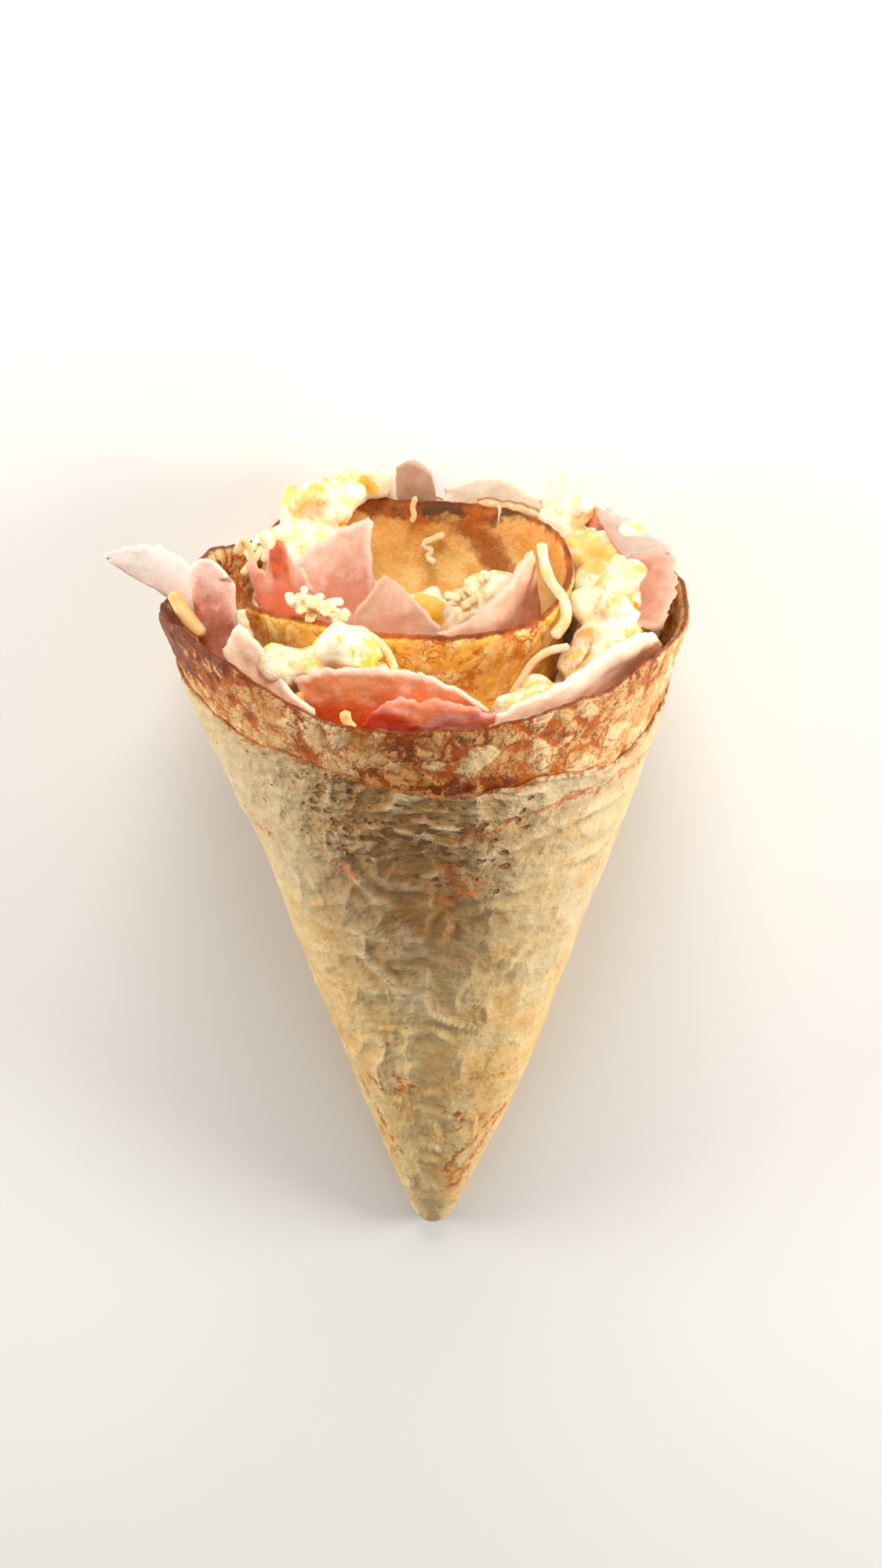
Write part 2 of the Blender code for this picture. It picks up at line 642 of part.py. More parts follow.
def slice_point(upper, lower, u, v, margin):
    """A point of a slice: u along it, v from its lower to its upper edge. The margin moves the
    four edges of the slice outwards."""

    def between(at):
        low, high = place(*along(lower, at)), place(*along(upper, at))
        return low.lerp(high, v), (high - low).normalized()

    point, upwards = between(u)
    moved = point + upwards * margin * (2 * v - 1)
    if u in (0.0, 1.0):
        inwards, _ = between(abs(u - 0.02))
        moved += (point - inwards).normalized() * margin
    return moved


def make_slice(name, edges, collection, margin=0.0):
    upper, lower = edges

    def shape(u, v):
        u = round(u, 6)
        return slice_point(upper, lower, u, v, margin)

    columns = 2 * (len(upper) - 1)
    return mapped_grid(name, columns, 1, shape, HAM + 2 * margin, collection)


def make_shred(name, points, collection, margin=0.0):
    """One strip of cheese, bent through its points."""

    def shape(u, v):
        centre = place(*along(points, u))
        ahead = place(*along(points, min(u + 0.03, 1))) - place(*along(points, max(u - 0.03, 0)))
        across = ahead.cross(Vector((0, -0.9, 0.5))).normalized()
        if u in (0.0, 1.0):
            centre += ahead.normalized() * margin * (2 * u - 1)
        return centre + across * (SHRED_WIDTH + 2 * margin) * (v - 0.5)

    thickness = SHRED_THICKNESS + 2 * margin
    return mapped_grid(name, 3 * (len(points) - 1), 1, shape, thickness, collection)


def paint(obj, kind, roughness):
    """The piece's own material."""
    material = bpy.data.materials.new(obj.name)
    material.use_nodes = True
    shader = material.node_tree.nodes["Principled BSDF"]
    shader.inputs["Base Color"].default_value = (*COLOURS[kind], 1)
    shader.inputs["Roughness"].default_value = roughness
    shader.inputs["Metallic"].default_value = 0.0
    obj.data.materials.clear()
    obj.data.materials.append(material)
    obj.data.shade_smooth()
    obj.data.set_sharp_from_angle(angle=math.radians(35))


def remove_collection(collection):
    for obj in list(collection.objects):
        bpy.data.objects.remove(obj)
    bpy.data.collections.remove(collection)


def new_collection(name):
    collection = bpy.data.collections.new(name)
    bpy.context.scene.collection.children.link(collection)
    return collection


def make_crepe(part):
    crepe = make_wall(part)
    roll = make_roll("roll", part)
    joined(crepe, "UNION", roll)
    bpy.data.objects.remove(roll)
    return largest_body(crepe)


def make_rooms(cutters):
    """What the crepe leaves free for its filling, and the space that its inner roll takes up."""
    return {
        "inside": make_inside(cutters),
        "roll": make_roll("roll_room", cutters, 2 * GAP, GAP, GAP, GAP),
    }


def make_core(name, mounds, collection):
    """One heap of egg with its curds fused on."""
    core = make_heap(mounds, collection)
    curds = new_collection("curds")
    make_curds(mounds, curds)
    joined(core, "UNION", group=curds)
    remove_collection(curds)
    core.name = name
    return core


def make_plug(collection, wider=0.0):
    """The space inside the roll, which parts its egg from the egg outside it."""
    low, high = (ROLL_BOTTOM - wider) / APEX_TO_MOUTH, INSIDE_SHARES[-1]
    bm = bmesh.new()
    bmesh.ops.create_cone(bm, cap_ends=True, segments=ROLL_COLUMNS, radius1=1, radius2=1, depth=1)
    for vert in bm.verts:
        degrees = math.degrees(math.atan2(vert.co.x, -vert.co.y))
        right, front = roll_path(degrees if degrees > ROLL_START else degrees + 360)
        share = high if vert.co.z > 0 else low
        outwards = Vector((vert.co.x, vert.co.y, 0)) * wider
        middle = Vector((right * share + axis_bend(share * APEX_TO_MOUTH), -front * share, 0))
        vert.co = middle + outwards + Vector((0, 0, share * APEX_TO_MOUTH))
    return new_object("plug", mesh_of(bm, "plug"), collection)


def make_egg(part, rooms):
    """The filling: the heap round the roll and the heap in it, which meet under the roll."""
    egg = make_core("egg", OUTER_MOUNDS, part)
    inner = make_core("inner_egg", INNER_MOUNDS, part)
    plug, wider_plug = make_plug(part), make_plug(part, GAP)
    joined(egg, "DIFFERENCE", plug)
    joined(inner, "INTERSECT", wider_plug)
    joined(egg, "UNION", inner)
    for used in (inner, plug, wider_plug):
        bpy.data.objects.remove(used)
    joined(egg, "INTERSECT", rooms["inside"])
    joined(egg, "DIFFERENCE", rooms["roll"])
    clearings = new_collection("clearings")
    for name, edges in HAM_SLICES.items():
        make_slice(name + "_room", edges, clearings, ROOM)
    for name, shreds in CHEESE_SHREDS.items():
        for k, points in enumerate(shreds):
            make_shred(f"{name}_{k}_room", points, clearings, ROOM)
    for room in clearings.objects:
        joined(egg, "DIFFERENCE", room)
    remove_collection(clearings)
    return largest_body(egg)


def make_ham(part, rooms):
    """The slices. All but the flag, which hangs out over the rim, are trimmed where they would
    run into the crepe."""
    made = []
    for name, edges in HAM_SLICES.items():
        piece = make_slice(name, edges, part)
        if name != "ham_flag":
            joined(piece, "INTERSECT", rooms["inside"])
        joined(piece, "DIFFERENCE", rooms["roll"])
        made.append(largest_body(piece))
    return made


def make_cheese(part):
    made = []
    for name, shreds in CHEESE_SHREDS.items():
        first, *others = [make_shred(name, points, part) for points in shreds]
        for other in others:
            joined(first, "UNION", other)
            bpy.data.objects.remove(other)
        made.append(first)
    return made


def lay_down(pieces):
    """Hangs the pieces on one empty that lays the cone on its back, with the middle of the
    underside at the origin."""
    bed = bpy.data.objects.new("lying_cone", None)
    bpy.context.scene.collection.objects.link(bed)
    bed.rotation_euler.x = HALF_ANGLE - math.pi / 2
    for piece in pieces:
        piece.parent = bed
    bpy.context.view_layer.update()
    points = [piece.matrix_world @ v.co for piece in pieces for v in piece.data.vertices]
    low = Vector([min(p[k] for p in points) for k in range(3)])
    high = Vector([max(p[k] for p in points) for k in range(3)])
    bed.location = (-(low.x + high.x) / 2, -(low.y + high.y) / 2, -low.z)


def main():
    for obj in list(bpy.data.objects):
        bpy.data.objects.remove(obj)
    part = new_collection("savory_crepe")
    cutters = new_collection("cutters")
    crepe = make_crepe(part)
    rooms = make_rooms(cutters)
    egg = make_egg(part, rooms)
    ham = make_ham(part, rooms)
    cheese = make_cheese(part)
    paint(crepe, "crepe", 0.6)
    paint(egg, "egg", 0.4)
    for piece in ham:
        paint(piece, "ham", 0.35)
    for piece in cheese:
        paint(piece, "cheese", 0.4)
    remove_collection(cutters)
    lay_down([crepe, egg, *ham, *cheese])


main()
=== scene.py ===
# %% [markdown]
# # A savory crepe, rolled into a cone
#
# This lesson dresses a plain solid model of a rolled crepe: a thin pancake turned into a pointed
# cone round scrambled egg, folded ham and shreds of cheese. The solid model gives every place and
# size. Here each piece gets the shape and the finish that it has on a plate. The first cell loads
# the solid model as the frame.

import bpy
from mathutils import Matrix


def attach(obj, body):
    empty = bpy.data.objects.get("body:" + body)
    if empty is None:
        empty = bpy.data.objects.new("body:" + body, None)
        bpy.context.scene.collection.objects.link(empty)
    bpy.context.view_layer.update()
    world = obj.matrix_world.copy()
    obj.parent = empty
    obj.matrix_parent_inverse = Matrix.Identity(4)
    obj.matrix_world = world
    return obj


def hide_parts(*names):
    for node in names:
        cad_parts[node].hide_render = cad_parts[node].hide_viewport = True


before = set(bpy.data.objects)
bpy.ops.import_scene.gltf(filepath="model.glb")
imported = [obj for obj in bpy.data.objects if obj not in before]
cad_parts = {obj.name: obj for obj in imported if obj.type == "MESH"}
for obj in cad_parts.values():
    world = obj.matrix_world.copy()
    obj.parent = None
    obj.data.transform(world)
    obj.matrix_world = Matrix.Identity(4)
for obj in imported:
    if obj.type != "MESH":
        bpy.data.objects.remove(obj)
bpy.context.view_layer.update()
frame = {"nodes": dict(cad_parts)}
print("nodes in the frame:", len(frame["nodes"]))

# %% What the lesson needs from Blender and Python
import math
import random

import bpy
import numpy as np
from mathutils import Matrix, Vector, kdtree, noise
from mathutils.bvhtree import BVHTree

# %% [markdown]
# ## The cone lies down
#
# A cone can't stand on its tip, so the crepe lies on its back. It is easier to think of it
# upright, with the tip down, so every piece is shaped upright and one matrix lays it down at the
# end. "Right" is to the right of the axis, "front" is towards the side that shows, and "over" is
# the height over the plane of the mouth.

# %% The cone's measures, in metres
MOUTH_RADIUS = 0.055
HALF_ANGLE = math.radians(18.5)
SLOPE = math.tan(HALF_ANGLE)
APEX_TO_MOUTH = MOUTH_RADIUS / SLOPE
TIP_RADIUS = 0.0046
TIP_CENTRE = TIP_RADIUS / math.sin(HALF_ANGLE)
WALL = 0.0024
FLAT_DEPTH = 0.001
APEX = Vector((0.00514, -0.09752, -0.001))
LAID_DOWN = Matrix.Translation(APEX) @ Matrix.Rotation(HALF_ANGLE - math.pi / 2, 4, "X")
print(f"tip to mouth {APEX_TO_MOUTH * 1000:.0f} mm, mouth {2000 * MOUTH_RADIUS:.0f} mm across")

# %% [markdown]
# Nothing on a crepe is straight. Its rim rises and falls, its cone bends and bellies. Such a line
# is kept as a short table of places and values, and a smooth curve runs through them. numpy works
# out a whole row of points in one go.

# %% Smooth curves through short tables
AXIS_BEND = (
    (0.07, 0.0017), (0.18, 0.0023), (0.32, 0.0031), (0.50, 0.0028), (0.69, 0.0028),
    (0.80, 0.0021), (0.92, 0.0008), (1.0, 0.0), (1.2, 0.0),
)
BELLY = (
    (0.07, 0.0), (0.18, 0.0012), (0.32, 0.0018), (0.50, 0.0016), (0.66, 0.0009),
    (0.85, 0.0010), (1.0, 0.0), (1.2, 0.0),
)
RIM_HEIGHTS = (
    (-180, 0.0), (-140, 0.0), (-120, 0.0028), (-102, 0.0016), (-84, 0.0046), (-72, 0.0085),
    (-60, 0.0112), (-50, 0.0106), (-39, 0.0075), (-27, 0.0032), (-14, 0.0009), (5, 0.0012),
    (18, 0.0013), (30, 0.0032), (44, 0.0034), (54, 0.0058), (66, 0.0046), (82, 0.0035),
    (102, 0.0048), (125, 0.0035), (152, 0.0010),
)
BAND_HEIGHTS = (
    (-180, -0.012), (-120, -0.0085), (-66, -0.0066), (-49, -0.0101), (-31, -0.0101),
    (-11, -0.0137), (8, -0.0158), (31, -0.0146), (50, -0.0176), (72, -0.014), (110, -0.010),
)
SEAM_HEIGHTS = (
    (-180, -0.044), (-90, -0.042), (-57, -0.039), (-25, -0.0345), (5, -0.0289), (20, -0.0245),
    (37, -0.0215), (65, -0.0229), (110, -0.030),
)


def curve_at(table, x):
    """The smooth curve through a table of (x, value) pairs, read at x, a number or an array."""
    xs, ys = np.array(table, float).T
    last = len(xs) - 1
    before, after = np.maximum(np.arange(last + 1) - 1, 0), np.minimum(np.arange(last + 1) + 1, last)
    slopes = (ys[after] - ys[before]) / (xs[after] - xs[before])
    i = np.clip(np.searchsorted(xs, x, side="right") - 1, 0, last - 1)
    span = xs[i + 1] - xs[i]
    t = np.clip((x - xs[i]) / span, 0.0, 1.0)
    rise = (2 * t**3 - 3 * t**2 + 1) * ys[i] + (3 * t**2 - 2 * t**3) * ys[i + 1]
    bend = (t**3 - 2 * t**2 + t) * slopes[i] + (t**3 - t**2) * slopes[i + 1]
    return rise + bend * span


def round_the_mouth(table, degrees):
    """The same for a table that goes once round the axis, in degrees from the front."""
    table = list(table)
    wrapped = [(x - 360, y) for x, y in table[-2:]] + table + [(x + 360, y) for x, y in table[:3]]
    return curve_at(wrapped, (degrees + 180) % 360 - 180)


def fade(x):
    """Rises smoothly from 0 to 1 as x goes from 0 to 1."""
    x = np.clip(x, 0.0, 1.0)
    return x * x * (3 - 2 * x)


print(f"the rim's front is {round_the_mouth(RIM_HEIGHTS, 0.0) * 1000:.2f} mm over the mouth")

# %% [markdown]
# The outer wall is a cone with these bends in it. A point of it is found from its angle round the
# axis, its height over the apex, and how far it stands out from the plain cone. Where the crepe
# lies on its back, its own weight presses a flat strip into it.

# %% A point of the wall
FOLD_MIDDLE = (94, -0.002)
FOLD_REACH = (14, 0.006)
FOLD = 0.0012
BACK_FROM = 110
BACK_REACH = 60
BACK_SHARE = 0.8


def pressed_flat(points):
    """Keeps points off the surface that the crepe lies on."""
    limit = (points[..., 2] * math.sin(HALF_ANGLE) - FLAT_DEPTH) / math.cos(HALF_ANGLE)
    points[..., 1] = np.minimum(points[..., 1], limit)
    return points


def axis_bend(height):
    return curve_at(AXIS_BEND, height / APEX_TO_MOUTH)


def cone_radius(degrees, height):
    """The radius of the cone with its belly and with the fold on the right of its rim."""
    behind = fade((np.abs((degrees + 180) % 360 - 180) - BACK_FROM) / BACK_REACH)
    belly = curve_at(BELLY, height / APEX_TO_MOUTH) * (1 - BACK_SHARE * behind)
    side = (degrees - FOLD_MIDDLE[0]) / FOLD_REACH[0]
    up = (height - APEX_TO_MOUTH - FOLD_MIDDLE[1]) / FOLD_REACH[1]
    return height * SLOPE + belly + FOLD * np.exp(-side * side - up * up)


def ring_points(degrees, radius, height):
    """Points at a radius round the bent axis, as an array of places."""
    turn = np.radians(degrees)
    right = radius * np.sin(turn) + axis_bend(height)
    return np.stack(np.broadcast_arrays(right, -radius * np.cos(turn), height), axis=-1)


def outward(degrees):
    """Which way the wall faces at an angle."""
    turn = np.radians(degrees)
    flat = math.cos(HALF_ANGLE)
    down = np.full_like(turn, -math.sin(HALF_ANGLE))
    return np.stack([flat * np.sin(turn), -flat * np.cos(turn), down], axis=-1)


# %% [markdown]
# ## Relief
#
# The skin of a crepe has wrinkles, bubbles and pores. Blender's noise functions make all three:
# plain noise gives slow swellings, its absolute value gives sharp creases, and the distance to
# scattered points gives round pores and the net of cells that batter makes on a hot pan. Vector
# noise starts from the clock unless it gets a seed, so it gets one.

# %% Noise over many points
NOISE_SEED = 12
noise.seed_set(NOISE_SEED)


def swell(points, size, octaves=1, shift=0.0):
    """Soft noise, about -1 to 1. Its swellings are about size apart."""
    offset = Vector((shift, shift * 1.7, -shift))
    if octaves == 1:
        return np.array([noise.noise(Vector(p) / size + offset) for p in points])
    return np.array([noise.fractal(Vector(p) / size + offset, 1.0, 2.0, octaves) for p in points])


def stirred(points, size, amount, shift=0.0):
    """The points, each moved a little by noise, so that a pattern read there looks natural."""
    moved = [noise.noise_vector(Vector(p) / size + Vector((shift, 0, 0))) for p in points]
    return points + amount * np.array(moved)


def nearest_two(points, centres):
    """The distances to the nearest and to the next nearest centre, and which centre is nearest."""
    tree = kdtree.KDTree(len(centres))
    for number, centre in enumerate(centres):
        tree.insert(centre, number)
    tree.balance()
    found = [tree.find_n(p, 2) for p in points]
    first = np.array([f[0][2] for f in found])
    second = np.array([f[1][2] for f in found])
    return first, second, np.array([f[0][1] for f in found])


def near_stroke(points, stroke):
    """How far each point is from a line through some points."""
    best = np.full(len(points), 1.0)
    for start, end in zip(stroke, stroke[1:]):
        start, end = np.array(start), np.array(end)
        way = end - start
        share = np.clip((points - start) @ way / (way @ way), 0.0, 1.0)
        best = np.minimum(best, np.linalg.norm(points - start - share[:, None] * way, axis=1))
    return best


# %% [markdown]
# ## Sheets
#
# A crepe and a slice of ham are both flat sheets that were rolled or folded, so each begins as
# Blender's own grid, lying flat. Every point of the grid is then moved to its place on the rolled
# sheet. Where two edges of the grid meet, their points are merged and the faces turned outwards.

# %% Making and bending a grid
EDGE_SHARE = 0.35


def only(piece):
    """Selects one object and nothing else."""
    bpy.ops.object.select_all(action="DESELECT")
    piece.select_set(True)
    bpy.context.view_layer.objects.active = piece


def flat_sheet(name, columns, rows):
    """A grid with so many faces each way, and the column and row number of each of its points."""
    bpy.ops.object.select_all(action="DESELECT")
    bpy.ops.mesh.primitive_grid_add(x_subdivisions=columns, y_subdivisions=rows, size=1)
    sheet = bpy.context.object
    sheet.name = name
    flat = np.empty(len(sheet.data.vertices) * 3)
    sheet.data.vertices.foreach_get("co", flat)
    flat = flat.reshape(-1, 3) + 0.5
    column = np.rint(flat[:, 0] * columns).astype(int)
    row = np.rint(flat[:, 1] * rows).astype(int)
    return sheet, column, row


def places(piece):
    flat = np.empty(len(piece.data.vertices) * 3)
    piece.data.vertices.foreach_get("co", flat)
    return flat.reshape(-1, 3)


def move_to(piece, points):
    piece.data.vertices.foreach_set("co", np.asarray(points, float).ravel())
    piece.data.update()


def mark(piece, name, values):
    """Keeps one number for each point of a piece, for its finish to read."""
    attribute = piece.data.attributes.new(name, "FLOAT", "POINT")
    attribute.data.foreach_set("value", np.asarray(values, float))


def marked(piece, name):
    values = np.empty(len(piece.data.vertices))
    piece.data.attributes[name].data.foreach_get("value", values)
    return values


def close_up(piece, within=1e-6):
    """Merges the points that meet and turns all faces outwards."""
    only(piece)
    bpy.ops.object.mode_set(mode="EDIT")
    bpy.ops.mesh.select_all(action="SELECT")
    bpy.ops.mesh.remove_doubles(threshold=within)
    bpy.ops.mesh.normals_make_consistent(inside=False)
    bpy.ops.object.mode_set(mode="OBJECT")


def thicken(piece, thickness, shares):
    """Gives a sheet its thickness where a point's share is 1, and EDGE_SHARE of it where it is 0."""
    only(piece)
    solidify = piece.modifiers.new("thickness", "SOLIDIFY")
    solidify.thickness = thickness
    solidify.offset = 0.0
    solidify.use_even_offset = False
    full = piece.vertex_groups.new(name="full")
    for number, share in enumerate(shares):
        full.add([number], float(share), "REPLACE")
    solidify.vertex_group = full.name
    solidify.thickness_vertex_group = EDGE_SHARE
    bpy.ops.object.modifier_apply(modifier=solidify.name)
    piece.vertex_groups.clear()


def normals_of(piece):
    flat = np.empty(len(piece.data.vertices) * 3)
    piece.data.vertex_normals.foreach_get("vector", flat)
    return flat.reshape(-1, 3)


def push_out(piece, amounts):
    """Moves each point along its normal."""
    move_to(piece, places(piece) + normals_of(piece) * np.asarray(amounts)[:, None])


def lay_down(piece, slot, *nodes):
    """Lays a finished piece in its place in the frame, in the stead of some of its nodes."""
    piece.data.transform(LAID_DOWN)
    only(piece)
    bpy.ops.object.shade_smooth()
    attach(piece, "root")
    if nodes:
        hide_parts(*nodes)
    piece.data.calc_loop_triangles()
    print(f"{piece.name}: {len(piece.data.loop_triangles)} triangles")


# %% [markdown]
# ## Finishes
#
# A finish is a shader built from nodes. Two small helpers keep that readable. A Shade is a number
# or colour that changes over the surface, and plus, minus and times work on it. A Finish is the
# material, and its add method puts in any other node.

# %% Shader arithmetic
class Shade:
    """The output of a shader node, which can be added, subtracted and multiplied."""

    def __init__(self, finish, socket):
        self.finish = finish
        self.socket = socket

    def reckon(self, operation, *numbers):
        return self.finish.add("ShaderNodeMath", {"operation": operation}, dict(enumerate(numbers)))

    def __add__(self, other):
        return self.reckon("ADD", self, other)

    def __radd__(self, other):
        return self.reckon("ADD", other, self)

    def __sub__(self, other):
        return self.reckon("SUBTRACT", self, other)

    def __rsub__(self, other):
        return self.reckon("SUBTRACT", other, self)

    def __mul__(self, other):
        return self.reckon("MULTIPLY", self, other)

    def __rmul__(self, other):
        return self.reckon("MULTIPLY", other, self)

    def at_least(self, other):
        return self.reckon("MAXIMUM", self, other)

    def at_most(self, other):
        return self.reckon("MINIMUM", self, other)

    def size(self):
        return self.reckon("ABSOLUTE", self)

    def rise(self, low, high):
        """0 up to low, 1 from high on, and smooth between them. High may be under low."""
        settings = {"interpolation_type": "SMOOTHSTEP"}
        return self.finish.add("ShaderNodeMapRange", settings, {"Value": self, 1: low, 2: high})


def tint(red, green, blue):
    """A colour as a painter mixes it, 0 to 255 each, turned into the light that it reflects."""
    shares = np.array((red, green, blue)) / 255.0
    linear = np.where(shares <= 0.04045, shares / 12.92, ((shares + 0.055) / 1.055) ** 2.4)
    return (*linear.tolist(), 1.0)


class Finish:
    """A material, made node by node."""

    def __init__(self, name, **fixed):
        self.material = bpy.data.materials.new(name)
        self.material.use_nodes = True
        self.tree = self.material.node_tree
        self.shader = self.tree.nodes["Principled BSDF"]
        for socket, value in fixed.items():
            self.shader.inputs[socket.replace("_", " ")].default_value = value
        self.place = self.add("ShaderNodeTexCoord", output="Object")

    def add(self, kind, settings=None, sockets=None, output=0):
        """Adds one node: its settings first, then the values or links of its sockets."""
        node = self.tree.nodes.new(kind)
        for name, value in (settings or {}).items():
            setattr(node, name, value)
        for name, value in (sockets or {}).items():
            if isinstance(value, Shade):
                self.tree.links.new(value.socket, node.inputs[name])
            else:
                node.inputs[name].default_value = value
        return Shade(self, node.outputs[output])

    def noise(self, size, detail=2.0, rough=0.5, warp=0.0, place=None):
        """Noise from 0 to 1, with swellings of about that size in metres."""
        sockets = {"Vector": place or self.place, "Scale": 1 / size}
        sockets.update({"Detail": detail, "Roughness": rough, "Distortion": warp})
        return self.add("ShaderNodeTexNoise", None, sockets)

    def read(self, mark_name):
        """A number that was kept for each point."""
        return self.add("ShaderNodeAttribute", {"attribute_name": mark_name}, output="Fac")

    def mix(self, share, one, other):
        """A colour between two, by share."""
        return self.add("ShaderNodeMix", {"data_type": "RGBA"}, {0: share, 6: one, 7: other}, output=2)

    def bump(self, height, distance, strength=1.0):
        """Fine relief: height from 0 to 1 stands for that many metres."""
        sockets = {"Height": height, "Distance": distance, "Strength": strength}
        return self.add("ShaderNodeBump", None, sockets)

    def wear(self, *pieces, **varying):
        """Plugs what varies into the shader and puts the finish on some pieces."""
        for socket, value in varying.items():
            self.tree.links.new(value.socket, self.shader.inputs[socket.replace("_", " ")])
        for piece in pieces:
            piece.data.materials.clear()
            piece.data.materials.append(self.material)


print("cream reflects", [round(share, 2) for share in tint(225, 210, 170)[:3]])

# %% [markdown]
# ## The outer sheet
#
# The crepe was folded in half before it was rolled, and the outer half ends a finger's width
# below the rim. So the outer sheet is a piece of its own: a cone that ends at the foot of the
# brown band. A flat grid is rolled round the axis. Its rows follow two edges, the slanting seam
# of the last turn and the upper edge, so that both are crisp steps. The last rows fold over the
# upper edge and run down inside, which closes the sheet.

# %% The rows of the outer sheet
OUTER_COLUMNS = 460
ROWS_TO_SEAM = 118
ROWS_TO_EDGE = 32
ROWS_INSIDE = 9
SEAM_STEP = 0.0006
SEAM_CENTRE, SEAM_REACH, SEAM_FADE = 35, 75, 30
LEFT_CENTRE, LEFT_REACH, LEFT_FADE, LEFT_SHARE = -80, 24, 14, 0.8
BAND_STEP = 0.0008


def edge_lines(degrees):
    """The heights of the rim, of the upper edge of the outer sheet and of the seam."""
    wobble = 0.0004 * np.sin(np.radians(degrees) * 23) + 0.0003 * np.sin(np.radians(degrees) * 41 + 1)
    rim = APEX_TO_MOUTH + round_the_mouth(RIM_HEIGHTS, degrees) + 0.6 * wobble
    band = APEX_TO_MOUTH + round_the_mouth(BAND_HEIGHTS, degrees) + 0.8 * wobble[::-1]
    seam = APEX_TO_MOUTH + round_the_mouth(SEAM_HEIGHTS, degrees) + wobble
    return rim, band, seam


def flap_step(degrees):
    """How far the last turn stands out above the seam."""
    off_centre = np.abs((degrees - SEAM_CENTRE + 180) % 360 - 180)
    front = fade((SEAM_REACH - off_centre) / SEAM_FADE)
    left = LEFT_SHARE * fade((LEFT_REACH - np.abs(degrees - LEFT_CENTRE)) / LEFT_FADE)
    return SEAM_STEP * np.maximum(front, left)


def outer_rows(degrees):
    """Each row as its height and how far it stands out, from the tip up, over the edge and down
    inside, and how many of the rows come before the edge."""
    _, band, seam = edge_lines(degrees)
    flap, none = flap_step(degrees), 0 * degrees
    first = TIP_CENTRE - TIP_RADIUS * math.sin(HALF_ANGLE)
    rows = [(height, none) for height in np.linspace(first + none, seam - 0.0008, ROWS_TO_SEAM)]
    rows += [(seam - 0.0003, 0.04 * flap), (seam, 0.5 * flap), (seam + 0.00015, 0.92 * flap)]
    rows += [(height, flap) for height in np.linspace(seam + 0.0006, band - 0.0007, ROWS_TO_EDGE)]
    before_edge = len(rows)
    rows += [(band - 0.0003, flap - 0.00006), (band, flap - 0.0003), (band - 0.0001, flap - 0.0008)]
    rows += [(band - 0.0010, flap - 0.00095), (band - 0.0075, flap - 0.00095)]
    rows += [(band - 0.0085, none - WALL)]
    inside = np.linspace(band - 0.012, first + 0.004 + none, ROWS_INSIDE)
    rows += [(height, none - WALL) for height in inside]
    return rows, before_edge


# %% [markdown]
# The larger relief of the outer sheet is worked out for every point: long soft wrinkles, and a few
# listed creases, which die away towards their ends. Pores and fine wrinkles are too small for the
# grid, so the finish adds them.

# %% Relief of the outer sheet
CREASES = (
    ((-26, -0.0360), (-23, -0.0415), (-18, -0.0470), (-8, -0.0505)),
    ((26, -0.0500), (14, -0.0492), (3, -0.0524), (-2, -0.0600)),
    ((66, -0.0300), (44, -0.0290), (26, -0.0310), (12, -0.0350)),
    ((68, -0.0405), (56, -0.0438), (40, -0.0420)),
    ((-13, -0.1288), (2, -0.1306), (13, -0.1294)),
    ((-16, -0.0880), (-4, -0.0858), (6, -0.0895)),
    ((-30, -0.0640), (-20, -0.0700), (-12, -0.0760)),
    ((34, -0.0640), (24, -0.0700), (10, -0.0730)),
)


def on_wall(spots):
    """Places on the plain wall from (degrees, height over the mouth) pairs."""
    degrees, over = np.array(spots, float).T
    height = APEX_TO_MOUTH + over
    return ring_points(degrees, cone_radius(degrees, height), height)


WRINKLED_CENTRE, WRINKLED_REACH, WRINKLED_LEAST = -8, 36, 0.30
LYING = (0.85, 0.85, 1.08)
WIDE_FOLD, NARROW_FOLD, PIT = 0.00044, 0.00014, 0.00010
RIDGE, DITCH = 0.00048, 0.00036


def wrinkles(points):
    """Height of the wrinkled skin, in metres. It is most wrinkled in front and calm behind."""
    lying = points * np.array(LYING)
    slow = 0.00038 * swell(points, 0.013, 2, 3.0) + 0.00016 * swell(lying, 0.0050, 2, 5.0)
    wide = 1 - np.abs(swell(stirred(lying, 0.012, 0.004), 0.0085, 1, 7.0)) * 3.0
    narrow = 1 - np.abs(swell(stirred(lying, 0.005, 0.0025), 0.0042, 1, 11.0)) * 3.0
    pits = swell(stirred(points, 0.004, 0.0015), 0.0030, 2, 13.0)
    turn = np.degrees(np.arctan2(points[:, 0], -points[:, 1]))
    in_front = np.exp(-(((turn - WRINKLED_CENTRE) / WRINKLED_REACH) ** 2))
    shown = WRINKLED_LEAST + (1 - WRINKLED_LEAST) * in_front
    folds = np.clip(wide, 0, 1) ** 2 * WIDE_FOLD + np.clip(narrow, 0, 1) ** 2 * NARROW_FOLD
    height = slow * (0.5 + 0.5 * shown) + folds * shown + PIT * pits * shown
    for crease in CREASES:
        line = on_wall(crease)
        away = near_stroke(points, line)
        middle, half = line.mean(axis=0), 0.5 * np.linalg.norm(line[-1] - line[0])
        taper = fade(1.35 - np.linalg.norm(points - middle, axis=1) / half)
        ridge = RIDGE * np.exp(-((away / 0.0013) ** 2))
        ditch = DITCH * np.exp(-(((away - 0.0028) / 0.0015) ** 2))
        height += (ridge - ditch) * taper
    return height


# %% The outer sheet
TIP_ROWS = 6
SMOOTH_TIP = 0.010
# The middle of the front is browner: partly the crepe's own browning, partly painted shade where it gets
# less light than the flanks.
BROWN_AND_SHADE_CENTRE, BROWN_AND_SHADE_REACH = -7, 29
BROWN_AND_SHADE_FROM, BROWN_AND_SHADE_FADE = APEX_TO_MOUTH - 0.095, 0.045


